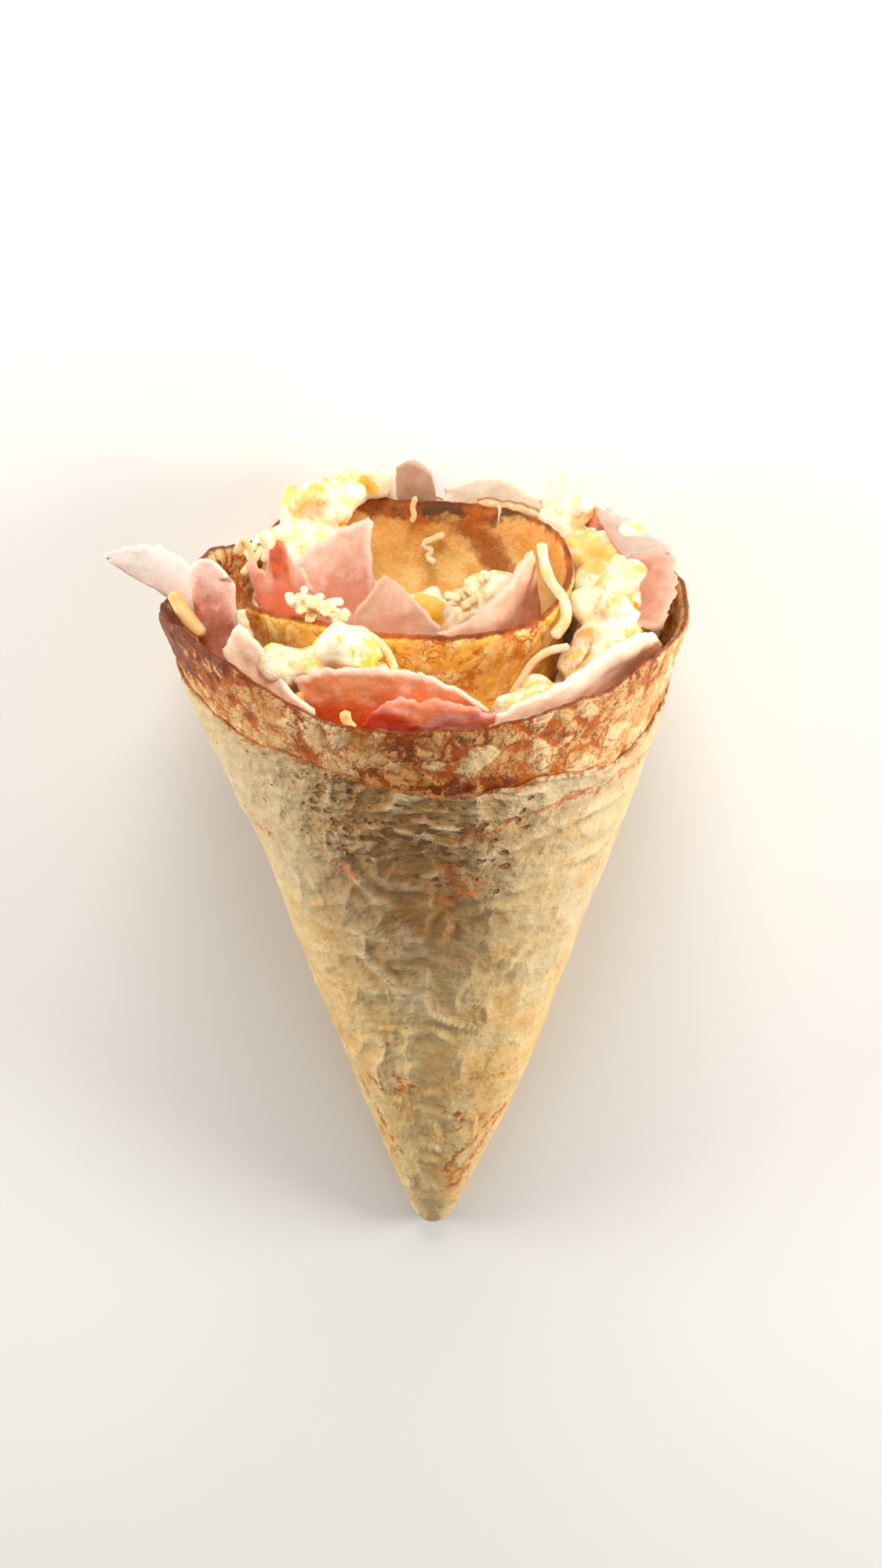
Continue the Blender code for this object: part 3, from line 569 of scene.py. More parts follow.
def make_outer_sheet():
    """The rows start at the ball of the tip and end at its middle, inside, so both poles close."""
    degrees = np.linspace(-180, 180, OUTER_COLUMNS + 1)
    none = 0 * degrees
    rows, before_edge = outer_rows(degrees)
    rings = []
    for swing in (math.pi / 2 - HALF_ANGLE) * np.arange(TIP_ROWS) / TIP_ROWS:
        height, radius = TIP_CENTRE - TIP_RADIUS * math.cos(swing), TIP_RADIUS * math.sin(swing)
        rings.append((height + none, radius + none))
    rings += [(height, cone_radius(degrees, height) + proud) for height, proud in rows]
    rings.append((TIP_CENTRE + none, none))
    sheet, column, row = flat_sheet("outer_sheet", OUTER_COLUMNS, len(rings) - 1)
    heights, radii = (np.array(part)[row, column] for part in zip(*rings))
    points = ring_points(degrees[column], radii, heights)
    skin = row < TIP_ROWS + before_edge
    height = np.zeros(len(points))
    height[skin] = wrinkles(points[skin])
    calm = fade((points[:, 2] - SMOOTH_TIP) / 0.035)
    points += outward(degrees[column]) * (height * (0.15 + 0.85 * calm))[:, None]
    on_pole = (row == 0) | (row == len(rings) - 1)
    points[on_pole, :2] = (float(axis_bend(TIP_CENTRE)), 0.0)
    move_to(sheet, pressed_flat(points))
    _, band, seam = edge_lines(degrees)
    mark(sheet, "below_edge", (band[column] - points[:, 2]) / math.cos(HALF_ANGLE))
    mark(sheet, "over_seam", points[:, 2] - seam[column])
    mark(sheet, "flap", flap_step(degrees[column]) / SEAM_STEP)
    mark(sheet, "relief", height / 0.0006)
    in_front = np.exp(-(((degrees[column] - BROWN_AND_SHADE_CENTRE) / BROWN_AND_SHADE_REACH) ** 2))
    mark(sheet, "browning_and_shade", in_front * fade((points[:, 2] - BROWN_AND_SHADE_FROM) / BROWN_AND_SHADE_FADE))
    return sheet


outer_sheet = make_outer_sheet()

# %% [markdown]
# Where the pan touched the folded sheet it left brown flecks and a few thin brown lines. They are
# strokes on the wall, and each point keeps how near it is to one of them. The finish breaks the
# strokes up with noise, so that they look burnt and not drawn.

# %% Brown strokes on the outer sheet
FLECKS = (
    (0.0015, ((-28, -0.0388), (-25, -0.0412))),
    (0.0008, ((3, -0.0363), (6, -0.0362), (4, -0.0386), (5, -0.0417))),
    (0.0014, ((5, -0.0417), (11, -0.0423), (8, -0.0444), (3, -0.0458))),
    (0.0008, ((4, -0.0302), (5, -0.0273), (10, -0.0268), (16, -0.0268), (21, -0.0241), (25, -0.0230))),
    (0.0009, ((25, -0.0230), (32, -0.0230), (37, -0.0224), (44, -0.0230), (56, -0.0237), (70, -0.0250))),
    (0.0009, ((-46, -0.1055), (-38, -0.1084), (-27, -0.1080), (-20, -0.1045), (-26, -0.1017))),
    (0.0011, ((-22, -0.1037), (-14, -0.1044), (-18, -0.1059))),
    (0.0005, ((14, -0.1030), (24, -0.1028), (36, -0.1040), (52, -0.1050))),
    (0.0007, ((2, -0.1119), (7, -0.1129))),
    (0.0008, ((12, -0.1138), (19, -0.1151), (16, -0.1188), (13, -0.1194))),
    (
        0.0009,
        (
            (24, -0.1146), (34, -0.1169), (46, -0.1193), (38, -0.1217), (32, -0.1250), (24, -0.1261),
            (14, -0.1297), (6, -0.1337),
        ),
    ),
    (0.0012, ((58, -0.1170), (52, -0.1215), (46, -0.1265), (40, -0.1310), (34, -0.1360), (26, -0.1395))),
    (0.0008, ((18, -0.1345), (28, -0.1385), (38, -0.1400))),
    (0.0008, ((-6, -0.1231), (4, -0.1214), (0, -0.1237))),
    (
        0.0007,
        ((-58, -0.1080), (-55, -0.1150), (-51, -0.1195), (-47, -0.1235), (-40, -0.1266), (-34, -0.1299)),
    ),
    (0.0010, ((-64, -0.0360), (-60, -0.0385), (-54, -0.0390))),
)


def mark_flecks(sheet):
    points = stirred(places(sheet), 0.0022, 0.0010, 4.0)
    burnt = np.zeros(len(points))
    for width, stroke in FLECKS:
        burnt = np.maximum(burnt, 1 - near_stroke(points, on_wall(stroke)) / (2.2 * width))
    mark(sheet, "fleck", np.clip(burnt, 0, 1))


mark_flecks(outer_sheet)
close_up(outer_sheet)
lay_down(outer_sheet, "crepe", "crepe")

# %% [markdown]
# The pale side of a crepe is greyish cream with slow yellow patches. Its ridges are painted a
# shade paler as light and its valleys painted darker as shade, the pores are darker, and the upper
# edge is fringed with brown.

# %% Finish of the pale crepe
PORE_CELL = 0.0019


def pale_crepe():
    finish = Finish(
        "pale_crepe", IOR=1.4, Specular_IOR_Level=0.35,
        Subsurface_Weight=0.06, Subsurface_Scale=0.0015, Subsurface_Radius=(1.0, 0.6, 0.3),
    )
    relief, fleck, browning_and_shade = finish.read("relief"), finish.read("fleck"), finish.read("browning_and_shade")
    below, over_seam, flap = finish.read("below_edge"), finish.read("over_seam"), finish.read("flap")
    lying = finish.add("ShaderNodeMapping", None, {"Vector": finish.place, "Scale": (0.65, 1.0, 1.0)})
    broad = finish.noise(0.026, 3.0)
    middle = finish.noise(0.0060, 4.0, 0.6)
    fine = finish.noise(0.0011, 3.0, 0.65)
    lumps = finish.noise(0.0066, 3.0, 0.52, 0.1, lying)
    small = finish.noise(0.0025, 3.0, 0.50, 0.0, lying)
    pored = (below.rise(0.040, 0.016) * 0.93 + 0.07) * broad.rise(0.26, 0.46)
    pored = pored * (browning_and_shade * 1.1 + 0.22).at_most(1.0)
    grid = {"Vector": lying, "Scale": 1 / PORE_CELL}
    cells = finish.add("ShaderNodeTexVoronoi", {"feature": "F1"}, grid, "Distance")
    lot = Shade(finish, cells.socket.node.outputs["Color"])
    pitted = (lot - 0.46) * 1.6 * pored - (1 - pored) * 0.4 - cells * 0.8
    pore = (pitted - (small - 0.5) * 1.6 + (fine - 0.5) * 0.5).rise(-0.10, 0.12)
    raised = (lumps - 0.5) * (0.20 + browning_and_shade * 0.22) + (small - 0.5) * (0.05 + pored * 0.26)
    raised = raised + fine * 0.04 - pore * 0.15 + relief * 0.09 + 0.465
    low = below.rise(0.040, 0.090)
    patches = (broad + middle * 0.5 + low * 0.30).rise(0.62, 1.05)
    base = finish.mix(patches, tint(208, 186, 146), tint(219, 190, 134))
    golden = (finish.noise(0.010, 5.0, 0.68, 0.5) + low * 0.09 - pored * 0.03).rise(0.52, 0.68)
    base = finish.mix(golden * 0.62, base, tint(213, 163, 88))
    # Painted shade, partly the crepe's own browning: the middle of the front is browner.
    base = finish.mix(browning_and_shade * (0.70 + middle * 0.4).at_most(0.95), base, tint(152, 104, 48))
    # Painted shade in the valleys of the relief, and painted light on its ridges.
    base = finish.mix(raised.rise(0.50, 0.37) * 0.45, base, tint(168, 116, 58))
    painted_ridge_light = (raised - browning_and_shade * 0.01).rise(0.50, 0.62) * (0.50 - browning_and_shade * 0.12)
    base = finish.mix(painted_ridge_light, base, tint(240, 222, 182))
    base = finish.mix(below.rise(0.140, 0.152) * 0.6, base, tint(232, 204, 150))
    base = finish.mix(pore * (0.25 + fine * 0.75), base, tint(126, 70, 28))
    dust = finish.noise(0.0026, 4.0, 0.72).rise(0.57, 0.72) * (0.30 + low * 0.22)
    base = finish.mix(dust, base, tint(200, 134, 62))
    seam_line = (over_seam + (fine - 0.5) * 0.0018).size().rise(0.0012, 0.0002) * flap
    base = finish.mix(seam_line * middle.rise(0.38, 0.58) * 0.62, base, tint(176, 98, 40))
    net = finish.noise(0.0019, 4.0, 0.7, 0.6)
    web = (finish.noise(0.0034, 3.0, 0.6, 0.5) - 0.5).size().rise(0.050, 0.008)
    burnt = (fleck * 1.25 + (net - 0.5) * 3.6 + (web - 0.5) * 0.6).rise(0.36, 0.95)
    core = (fleck + (net - 0.5) * 2.0).rise(0.7, 1.3)
    base = finish.mix(burnt * 0.90, base, finish.mix(core, tint(200, 116, 50), tint(140, 58, 16)))
    fringe = (below + (finish.noise(0.0035, 4.0, 0.7, 1.0) - 0.5) * 0.0080).rise(0.0012, 0.0001)
    scorch = finish.mix(fine.rise(0.35, 0.65), tint(178, 98, 40), tint(120, 56, 18))
    base = finish.mix(fringe * 0.8, base, scorch)
    grain = finish.bump(raised, 0.0060, 1.0)
    finish.wear(outer_sheet, Base_Color=base, Roughness=0.48 + fine * 0.18, Normal=grain)


pale_crepe()
print("the outer sheet has its finish")

# %% [markdown]
# ## The inner sheet and its lace
#
# Above the outer sheet shows the other half of the fold, with the lacy brown pattern of the pan
# side. Batter rises in flat blisters that stay pale, and the thin lines between them burn. The
# pattern is worked out for every point as the difference between the distances to the two nearest
# blister centres: it is zero on the lines and grows towards the middle of a blister.

# %% The lace pattern
def lace(points, centres, stir=0.0020):
    """The lace value of each point, in millimetres, and a random number for its blister."""
    moved = stirred(stirred(points, 0.0060, stir), 0.0018, 0.0007, 9.0)
    first, second, which = nearest_two(moved, centres)
    lots = np.array([random.Random(k * 7 + 1).random() for k in range(len(centres))])
    return (second - first) * 1000, lots[which]


BAND_CELL = 0.0046
BAND_DEEPEST = 0.030
BROWN_AT_RIM = (
    (-180, 0.5), (-120, 0.7), (-75, 1.35), (-52, 1.30), (-40, 1.0), (-24, 0.50), (-8, 0.8), (10, 0.75),
    (25, 0.60), (45, 0.65), (62, 0.75), (85, 0.30), (120, 0.35),
)
BROWN_AT_MIDDLE = (
    (-180, 0.4), (-75, 1.15), (-56, 1.0), (-42, 0.60), (-24, 0.45), (-8, 0.60), (5, 0.6), (20, 0.45),
    (35, 0.5), (50, 0.55), (70, 0.35), (100, 0.45),
)
BROWN_AT_FOOT = (
    (-180, 0.4), (-75, 0.4), (-52, 0.3), (-32, 0.35), (-14, 0.75), (0, 1.0), (14, 1.05), (26, 0.7),
    (40, 0.6), (60, 0.5), (80, 0.3), (110, 0.35),
)


def band_browning(degrees, share):
    """How brown the band is, from 0 to 1, at a share of the way from its rim to its foot."""
    tables = (BROWN_AT_RIM, BROWN_AT_MIDDLE, BROWN_AT_FOOT)
    top, middle, foot = (round_the_mouth(table, degrees) for table in tables)
    upper = top + (middle - top) * fade(share * 2)
    return upper + (foot - middle) * fade(share * 2 - 1)


def blister_centres(cell, deepest, seed):
    """Blister centres strewn below the rim, crowded in some places and sparse in others."""
    dice = random.Random(seed)
    spots = []
    for _ in range(int(4 * math.pi * MOUTH_RADIUS * deepest / cell**2)):
        degrees, depth = dice.uniform(-180, 180), dice.uniform(-0.001, deepest)
        crowd = 0.5 + 0.9 * noise.noise(Vector((degrees * 0.07, depth * 130, seed)))
        if dice.random() < crowd:
            spots.append((degrees, float(round_the_mouth(RIM_HEIGHTS, degrees)) - depth))
    return on_wall(spots)


# %% The inner sheet
INNER_COLUMNS = 620
INNER_ROWS_OUTSIDE = 40
INNER_ROWS_INSIDE = 22
INNER_DEPTH = 0.006
INNER_SHEET = 0.0016
BLISTER = 0.00022


def make_inner_sheet():
    """The rows run up the outside, over the rim and down inside, back to the first row."""
    degrees = np.linspace(-180, 180, INNER_COLUMNS + 1)
    rim, band, _ = edge_lines(degrees)
    face = flap_step(degrees) - BAND_STEP
    foot = band - INNER_DEPTH
    rows = [(height, face) for height in np.linspace(foot, rim - 0.0010, INNER_ROWS_OUTSIDE)]
    rows += [(rim - 0.0005, face - 0.00012), (rim - 0.0001, face - 0.0003), (rim, face - 0.0006)]
    outside = len(rows)
    rows += [(rim - 0.0001, face - 0.0009), (rim - 0.0006, face - 0.0012)]
    inside = np.linspace(rim - 0.002, foot, INNER_ROWS_INSIDE)
    rows += [(height, face - INNER_SHEET) for height in inside]
    rows += [rows[0]]
    sheet, column, row = flat_sheet("inner_sheet", INNER_COLUMNS, len(rows) - 1)
    heights, proud = (np.array(part)[row, column] for part in zip(*rows))
    points = ring_points(degrees[column], cone_radius(degrees[column], heights) + proud, heights)
    value, lot = lace(points, blister_centres(BAND_CELL, BAND_DEEPEST, 21))
    below = (rim[column] - heights) / math.cos(HALF_ANGLE)
    share = (rim[column] - heights) / (rim[column] - band[column])
    blister = fade(value / 2.6) * BLISTER + BLISTER * swell(points, 0.0026, 2)
    slow = 0.00025 * swell(points, 0.009, 1, 2.0)
    settled = fade(below / 0.0012)
    height = np.where(row < outside, blister * settled, -0.5 * blister * settled) + slow
    points += outward(degrees[column]) * height[:, None]
    points[:, 2] += 0.00025 * swell(points, 0.0025, 2, 8.0) * (1 - fade(below / 0.0015))
    move_to(sheet, pressed_flat(points))
    mark(sheet, "lace", value)
    mark(sheet, "lot", lot)
    mark(sheet, "below_rim", below)
    mark(sheet, "brown", band_browning(degrees[column], share))
    return sheet


inner_sheet = make_inner_sheet()
close_up(inner_sheet)
lay_down(inner_sheet, "crepe", "crepe")

# %% [markdown]
# The lace finish reads the pattern back. Where the sheet was hotter, the brown number is larger:
# the lines get wider and darker. The blisters stay pinkish beige, each a little different.

# %% Finish of the lace
def lacy_crepe(name, paler, beige, golden, line, dark, spread=1.0, torn=4.4):
    """The finish and what varies in it. Spread widens the brown lines, torn breaks them up."""
    finish = Finish(
        name, IOR=1.42, Specular_IOR_Level=0.25, Subsurface_Weight=0.05, Subsurface_Scale=0.0015
    )
    value, lot, brown, below = (finish.read(n) for n in ("lace", "lot", "brown", "below_rim"))
    slow = finish.noise(0.0075, 3.0)
    middle = finish.noise(0.0026, 4.0, 0.65)
    fine = finish.noise(0.0008, 3.0, 0.7)
    heat = brown + (slow - 0.5) * 1.6
    ragged = value + (middle - 0.5) * torn + (fine - 0.5) * 1.0
    width = (heat.at_least(0.0) * heat.at_least(0.0) * 1.2 - 0.10) * spread
    blister = finish.mix((lot * 0.5 + slow * 0.6 + (middle - 0.5) * 0.8).rise(0.35, 0.75), beige, paler)
    blister = finish.mix((ragged - width).rise(1.4, 0.3) * 0.45, blister, golden)
    blister = finish.mix((fine * 0.6 + middle * 0.4).rise(0.54, 0.66) * 0.40, blister, golden)
    vein = (finish.noise(0.0050, 5.0, 0.62, 0.9) - 0.5).size().rise(0.026, 0.007)
    vein = vein * (heat * 1.3).rise(0.10, 0.6)
    mass = (heat * 0.85 + (middle - 0.5) * 2.8 + (fine - 0.5) * 0.7).rise(0.68, 0.96)
    there = (finish.noise(0.0040, 3.0, 0.6, 0.4) + heat * 0.20).rise(0.46, 0.62)
    burnt = ((ragged - width).rise(0.35, -0.20) * there).at_least(vein * 0.85).at_least(mass * 0.95)
    char = ((heat - 0.42) * 1.3 + (fine - 0.5) * 0.8 + (middle - 0.5) * 2.0).rise(0.10, 1.0)
    brown_line = finish.mix(char, line, dark)
    base = finish.mix(burnt * (0.68 + heat * 0.4).at_most(0.97), blister, brown_line)
    edge = (below + (middle - 0.5) * 0.0014).rise(0.0008, 0.0002)
    base = finish.mix(edge * 0.85, base, dark)
    rough = 0.42 + fine * 0.2 - burnt * 0.08
    rugged = middle * 0.5 + fine * 0.3 + ragged.rise(0.0, 2.2) * 0.15 - burnt * 0.15
    return finish, dict(Base_Color=base, Roughness=rough, Normal=finish.bump(rugged, 0.00080, 0.9))


band_finish, band_looks = lacy_crepe(
    "lacy_band", paler=tint(236, 204, 152), beige=tint(216, 162, 100), golden=tint(206, 130, 44),
    line=tint(186, 86, 14), dark=tint(112, 42, 4),
)
band_finish.wear(inner_sheet, **band_looks)
print("the band has its lace")

# %% [markdown]
# ## The inner roll
#
# The rest of the crepe winds inwards as a smaller roll. It stands in the filling, so only its top
# shows: the golden lace of its outer face in front, and at the back the smooth tan inside under
# a dark burnt edge. It is one grid bent into a coil, then thickened.

# %% The coil
ROLL_SHEET = 0.0020
ROLL_CENTRE = (-0.004, -0.009)
ROLL_RADIUS = 0.034
ROLL_START, ROLL_END = -71, 231.7
ROLL_OUT = 0.0104
ROLL_OUT_FROM = 165
ROLL_JOINS_FROM = 0.85
ROLL_BOTTOM = 0.40 * APEX_TO_MOUTH
ROLL_HEIGHTS = (
    (-71, 0.0046), (-60, 0.0060), (-35, 0.0092), (-10, 0.0090), (12, 0.0078), (37, 0.0064),
    (53, 0.0056), (64, 0.0060), (90, 0.0074), (115, 0.0090), (150, 0.0080), (180, 0.0066),
    (205, 0.0070), (220, 0.0030), (231.7, -0.0035),
)


def roll_points(psi, height, outwards=0.0):
    """Points of the roll's middle surface, by the angle round its own centre and the height. Near
    its end the coil runs into the outer wall and follows its belly."""
    u = (psi - ROLL_START) / (ROLL_END - ROLL_START)
    turn = np.radians(psi)
    radius = ROLL_RADIUS + outwards + ROLL_OUT * fade((psi - ROLL_OUT_FROM) / (ROLL_END - ROLL_OUT_FROM))
    right, front = ROLL_CENTRE[0] + radius * np.sin(turn), ROLL_CENTRE[1] + radius * np.cos(turn)
    share = height / APEX_TO_MOUTH
    reach = np.hypot(right, front)
    degrees = np.degrees(np.arctan2(right, front))
    belly = cone_radius(degrees, height) - height * SLOPE
    inset = (MOUTH_RADIUS - reach) * (1 - share) - belly
    shift = 1 - inset * fade((u - ROLL_JOINS_FROM) / (1 - ROLL_JOINS_FROM)) / (reach * share)
    return np.stack([right * share * shift + axis_bend(height), -front * share * shift, height], axis=-1)


def coil_centre(height):
    """Where the coil's own axis is at some heights, as an array of places."""
    share = height / APEX_TO_MOUTH
    right = ROLL_CENTRE[0] * share + axis_bend(height)
    return np.stack([right, -ROLL_CENTRE[1] * share, height], axis=-1)


# %% [markdown]
# A leaf of the roll is a grid between two angles round the coil's axis. Its rows lie close together
# near the rim, where they show, and far apart below. Which face of the leaf each point is on is
# kept, because the two faces look different.

# %% A leaf of the roll
RIM_ROWS = 52
DENSE_DEPTH, SHORT_LEAF_DEPTH = 0.034, 0.012
SPARSE_ROWS = (0.0, 0.25, 0.5, 0.7, 0.82)
RAGGED_RIM, ROLL_WAVES = 0.0004, 0.0004
ROLL_BLISTER, ROLL_GRAIN = 0.00025, 0.00010
SPOTS_PER_DEGREE, SPOTS_DOWN_TO = 1.9, 0.030


def leaf_rows(bottom):
    """The rows of a leaf as shares of its height, crowded near its rim."""
    full = bottom == ROLL_BOTTOM
    reach = DENSE_DEPTH if full else SHORT_LEAF_DEPTH
    height = APEX_TO_MOUTH - bottom
    crowded = [1 - reach * (1 - k / RIM_ROWS) ** 1.15 / height for k in range(RIM_ROWS + 1)]
    sparse = SPARSE_ROWS if full else SPARSE_ROWS[:1]
    return np.array([share for share in sparse if share < crowded[0] - 0.02] + crowded)


def make_leaf(name, start, end, columns, top, thickness, bottom=ROLL_BOTTOM, outwards=0.0, seed=31):
    shares = leaf_rows(bottom)
    sheet, column, row = flat_sheet(name, columns, len(shares) - 1)
    psi = start + (end - start) * column / columns
    rim = APEX_TO_MOUTH + curve_at(top, psi)
    arc = np.stack([psi * 0.0006, 0 * psi, 0 * psi], axis=-1)
    rim = rim + RAGGED_RIM * swell(arc, 0.0028, 3, seed)
    height = bottom + (rim - bottom) * shares[row]
    points = roll_points(psi, height, outwards)
    below = rim - height
    way = points - coil_centre(height)
    way /= np.linalg.norm(way, axis=1)[:, None]
    points += way * (ROLL_WAVES * swell(points, 0.012, 1, seed * 1.3))[:, None]
    move_to(sheet, points)
    ends = np.minimum(psi - start, end - psi) * math.radians(1) * ROLL_RADIUS
    thin = fade(np.minimum(below / 0.0012, ends / 0.0012))
    mark(sheet, "below_rim", below)
    mark(sheet, "psi", psi)
    thicken(sheet, thickness, thin)
    points = places(sheet)
    spots = blister_spots(seed, start, end, top)
    value, lot = lace(points, spots, 0.0016)
    mark(sheet, "lace", value)
    mark(sheet, "lot", lot)
    height = points[:, 2]
    away = points - coil_centre(height)
    middle = roll_points(marked(sheet, "psi"), height, outwards) - coil_centre(height)
    outer = (np.linalg.norm(away, axis=1) > np.linalg.norm(middle, axis=1)).astype(float)
    mark(sheet, "outer_face", outer)
    settled = fade(marked(sheet, "below_rim") / 0.0010)
    blister = ROLL_BLISTER * fade(value / 1.5) * outer
    push_out(sheet, settled * (blister + ROLL_GRAIN * swell(points, 0.002, 2)))
    return sheet


def blister_spots(seed, start, end, top):
    """Blister centres strewn on the coil."""
    dice = random.Random(seed)
    spots = []
    for _ in range(int((end - start) * SPOTS_PER_DEGREE)):
        psi, depth = dice.uniform(start, end), dice.uniform(-0.001, SPOTS_DOWN_TO)
        height = APEX_TO_MOUTH + float(curve_at(top, psi)) - depth
        spots.append(roll_points(np.array([psi]), np.array([height]))[0])
    return np.array(spots)


inner_roll = make_leaf("inner_roll", ROLL_START, ROLL_END, 330, ROLL_HEIGHTS, ROLL_SHEET)
close_up(inner_roll)

# %% [markdown]
# At the back the folded sheet gapes: its second leaf stands a little behind the first, and two
# stretches of its crust show over the egg. They are two short leaves.

# %% The second leaf
CRUST_SHEET = 0.0011
CRUST_LEFT = ((160, 0.0058), (168, 0.0064), (178, 0.0066), (184, 0.0062))
CRUST_RIGHT = ((128, 0.0086), (136, 0.0089), (146, 0.0084), (156, 0.0076))
CRUST_FOOT = APEX_TO_MOUTH - 0.006
crust_left = make_leaf("crust_left", 160, 184, 40, CRUST_LEFT, CRUST_SHEET, CRUST_FOOT, 0.0034, 41)
crust_right = make_leaf("crust_right", 128, 156, 44, CRUST_RIGHT, CRUST_SHEET, CRUST_FOOT, 0.0036, 43)
for leaf in (crust_left, crust_right):
    close_up(leaf)
for leaf in (inner_roll, crust_left, crust_right):
    lay_down(leaf, "crepe", "crepe")

# %% [markdown]
# The roll's outer face was fried golden, with a brown net on it, and towards the hollow at its
# right it is painted brown as shade. Its inside is the pale side, smooth and tan, burnt dark along
# the rim and in one streak at the right.

# %% Finish of the roll
STREAK_FROM, STREAK_SLANT = 164, 1875


def roll_crepe():
    finish, looks = lacy_crepe(
        "golden_roll", paler=tint(255, 230, 158), beige=tint(255, 203, 94), golden=tint(255, 170, 42),
        line=tint(216, 106, 14), dark=tint(152, 60, 8), spread=0.5, torn=2.4,
    )
    outer = finish.read("outer_face").rise(0.3, 0.7)
    below, psi = finish.read("below_rim"), finish.read("psi")
    slow = finish.noise(0.009, 3.0)
    middle = finish.noise(0.0026, 4.0, 0.6)
    fine = finish.noise(0.0009, 3.0, 0.7)
    tan = finish.mix(slow.rise(0.35, 0.65), tint(228, 176, 98), tint(244, 206, 138))
    tan = finish.mix((fine * 0.5 + middle * 0.5).rise(0.52, 0.68) * 0.45, tan, tint(206, 142, 64))
    far = psi.rise(128.0, 150.0) * 0.8 + 0.2
    band = (below - far * 0.0046 + (middle - 0.5) * 0.0055 + (slow - 0.5) * 0.0050).rise(0.0012, -0.0012)
    hot = (fine * 0.5 + (slow - 0.5) * 2.0 + middle * 0.4).rise(0.25, 0.80)
    tan = finish.mix(band * 0.92, tan, finish.mix(hot, tint(194, 92, 18), tint(74, 26, 6)))
    halo = (below + (middle - 0.5) * 0.007).rise(0.0125, 0.0055) * (1 - band)
    tan = finish.mix(halo * 0.6, tan, tint(214, 132, 40))
    streak = (psi + (middle - 0.5) * 16 + below * STREAK_SLANT - STREAK_FROM).size().rise(13.0, 4.0)
    streak = streak * below.rise(0.0175, 0.0150) * below.rise(0.0030, 0.0055)
    tan = finish.mix(streak * 0.85, tan, finish.mix(fine, tint(190, 96, 18), tint(110, 42, 8)))
    base = finish.mix(outer, tan, looks["Base_Color"])
    patches = slow.rise(0.4, 0.6)
    # Painted shade: the outer face turns brown towards the hollow at the right.
    painted_side_shade = outer * (psi + (middle - 0.5) * 24).rise(32.0, 62.0) * below.rise(0.003, 0.011)
    side_shade_tone = finish.mix(patches, tint(206, 112, 40), tint(140, 66, 20))
    base = finish.mix(painted_side_shade * 0.6, base, side_shade_tone)
    edge = (below + (middle - 0.5) * 0.0008).rise(0.0009, 0.0003)
    base = finish.mix(edge * 0.8, base, finish.mix(patches, tint(176, 84, 20), tint(120, 46, 12)))
    finish.wear(inner_roll, Base_Color=base, Roughness=looks["Roughness"], Normal=looks["Normal"])


def crust_crepe():
    """The gaping leaf shows its cream side between two thin brown lines."""
    finish = Finish("gaping_crust", IOR=1.42, Subsurface_Weight=0.05, Subsurface_Scale=0.0015)
    below = finish.read("below_rim")
    middle, fine = finish.noise(0.0024, 4.0, 0.65), finish.noise(0.0008, 3.0, 0.7)
    base = finish.mix(middle.rise(0.4, 0.65), tint(240, 220, 176), tint(226, 176, 104))
    upper_line = (below + (middle - 0.5) * 0.0011).rise(0.0007, 0.0002)
    lower_line = (below + (fine - 0.5) * 0.001).rise(0.0016, 0.0026)
    line = upper_line.at_least(lower_line) * (0.6 + fine * 0.4)
    base = finish.mix(line, base, finish.mix(fine, tint(186, 96, 30), tint(126, 56, 18)))
    grain = finish.bump(middle * 0.6 + fine * 0.4, 0.0004, 0.8)
    finish.wear(crust_left, crust_right, Base_Color=base, Roughness=0.45 + fine * 0.2, Normal=grain)


for leaf in (inner_roll, crust_left, crust_right):
    at_rim = fade(1 - marked(leaf, "below_rim") / 0.002)
    mark(leaf, "brown", 0.30 + 0.25 * swell(places(leaf), 0.01, 1, 5.0) + 0.35 * at_rim)
roll_crepe()
crust_crepe()
print("the roll is golden outside and tan inside")

# %% [markdown]
# ## The egg
#
# Scrambled egg is a heap of soft curds, and a voxel remesh is a good way to melt many lumps into
# one such heap. The solid model's egg is the core. Its top is kept, dented lumps of every size
# are strewn over it, all of it is remeshed, and noise roughens the skin. Lumps keep clear of the
# ham and of the crepe.

# %% The core of the egg
EGG_CUT = APEX_TO_MOUTH - 0.026
EGG_FOOT_CUT = APEX_TO_MOUTH - 0.024
VOXEL = 0.00069


def copy_upright(node, name):
    """A copy of a node of the solid model, stood upright and with its loose faces merged."""
    piece = bpy.data.objects.new(name, frame["nodes"][node].data.copy())
    bpy.context.scene.collection.objects.link(piece)
    piece.data.transform(LAID_DOWN.inverted())
    close_up(piece, 1e-5)
    return piece


def cut_off(piece, height, keep_top):
    """Cuts a piece level and closes the cut."""
    only(piece)
    bpy.ops.object.mode_set(mode="EDIT")
    bpy.ops.mesh.select_all(action="SELECT")
    level = dict(plane_co=(0, 0, height), plane_no=(0, 0, 1))
    bpy.ops.mesh.bisect(**level, use_fill=True, clear_inner=keep_top, clear_outer=not keep_top)
    bpy.ops.object.mode_set(mode="OBJECT")


def surface_of(nodes):
    """A search tree over some nodes of the solid model, stood upright."""
    points, faces = [], []
    back = np.array(LAID_DOWN.inverted())
    for node in nodes:
        mesh = frame["nodes"][node].data
        start = len(points)
        flat = np.empty(len(mesh.vertices) * 3)
        mesh.vertices.foreach_get("co", flat)
        points += (flat.reshape(-1, 3) @ back[:3, :3].T + back[:3, 3]).tolist()
        faces += [[start + v for v in face.vertices] for face in mesh.polygons]
    return BVHTree.FromPolygons(points, faces)


egg_foot = copy_upright("egg", "egg_foot")
cut_off(egg_foot, EGG_FOOT_CUT, keep_top=False)
egg_top = copy_upright("egg", "egg_top")
cut_off(egg_top, EGG_CUT, keep_top=True)
egg_tree = surface_of(["egg"])
neighbour_tree = surface_of([node for node in frame["nodes"] if node != "egg"])
every_tree = surface_of(frame["nodes"])
print("the egg's top has", len(egg_top.data.polygons), "faces to start with")
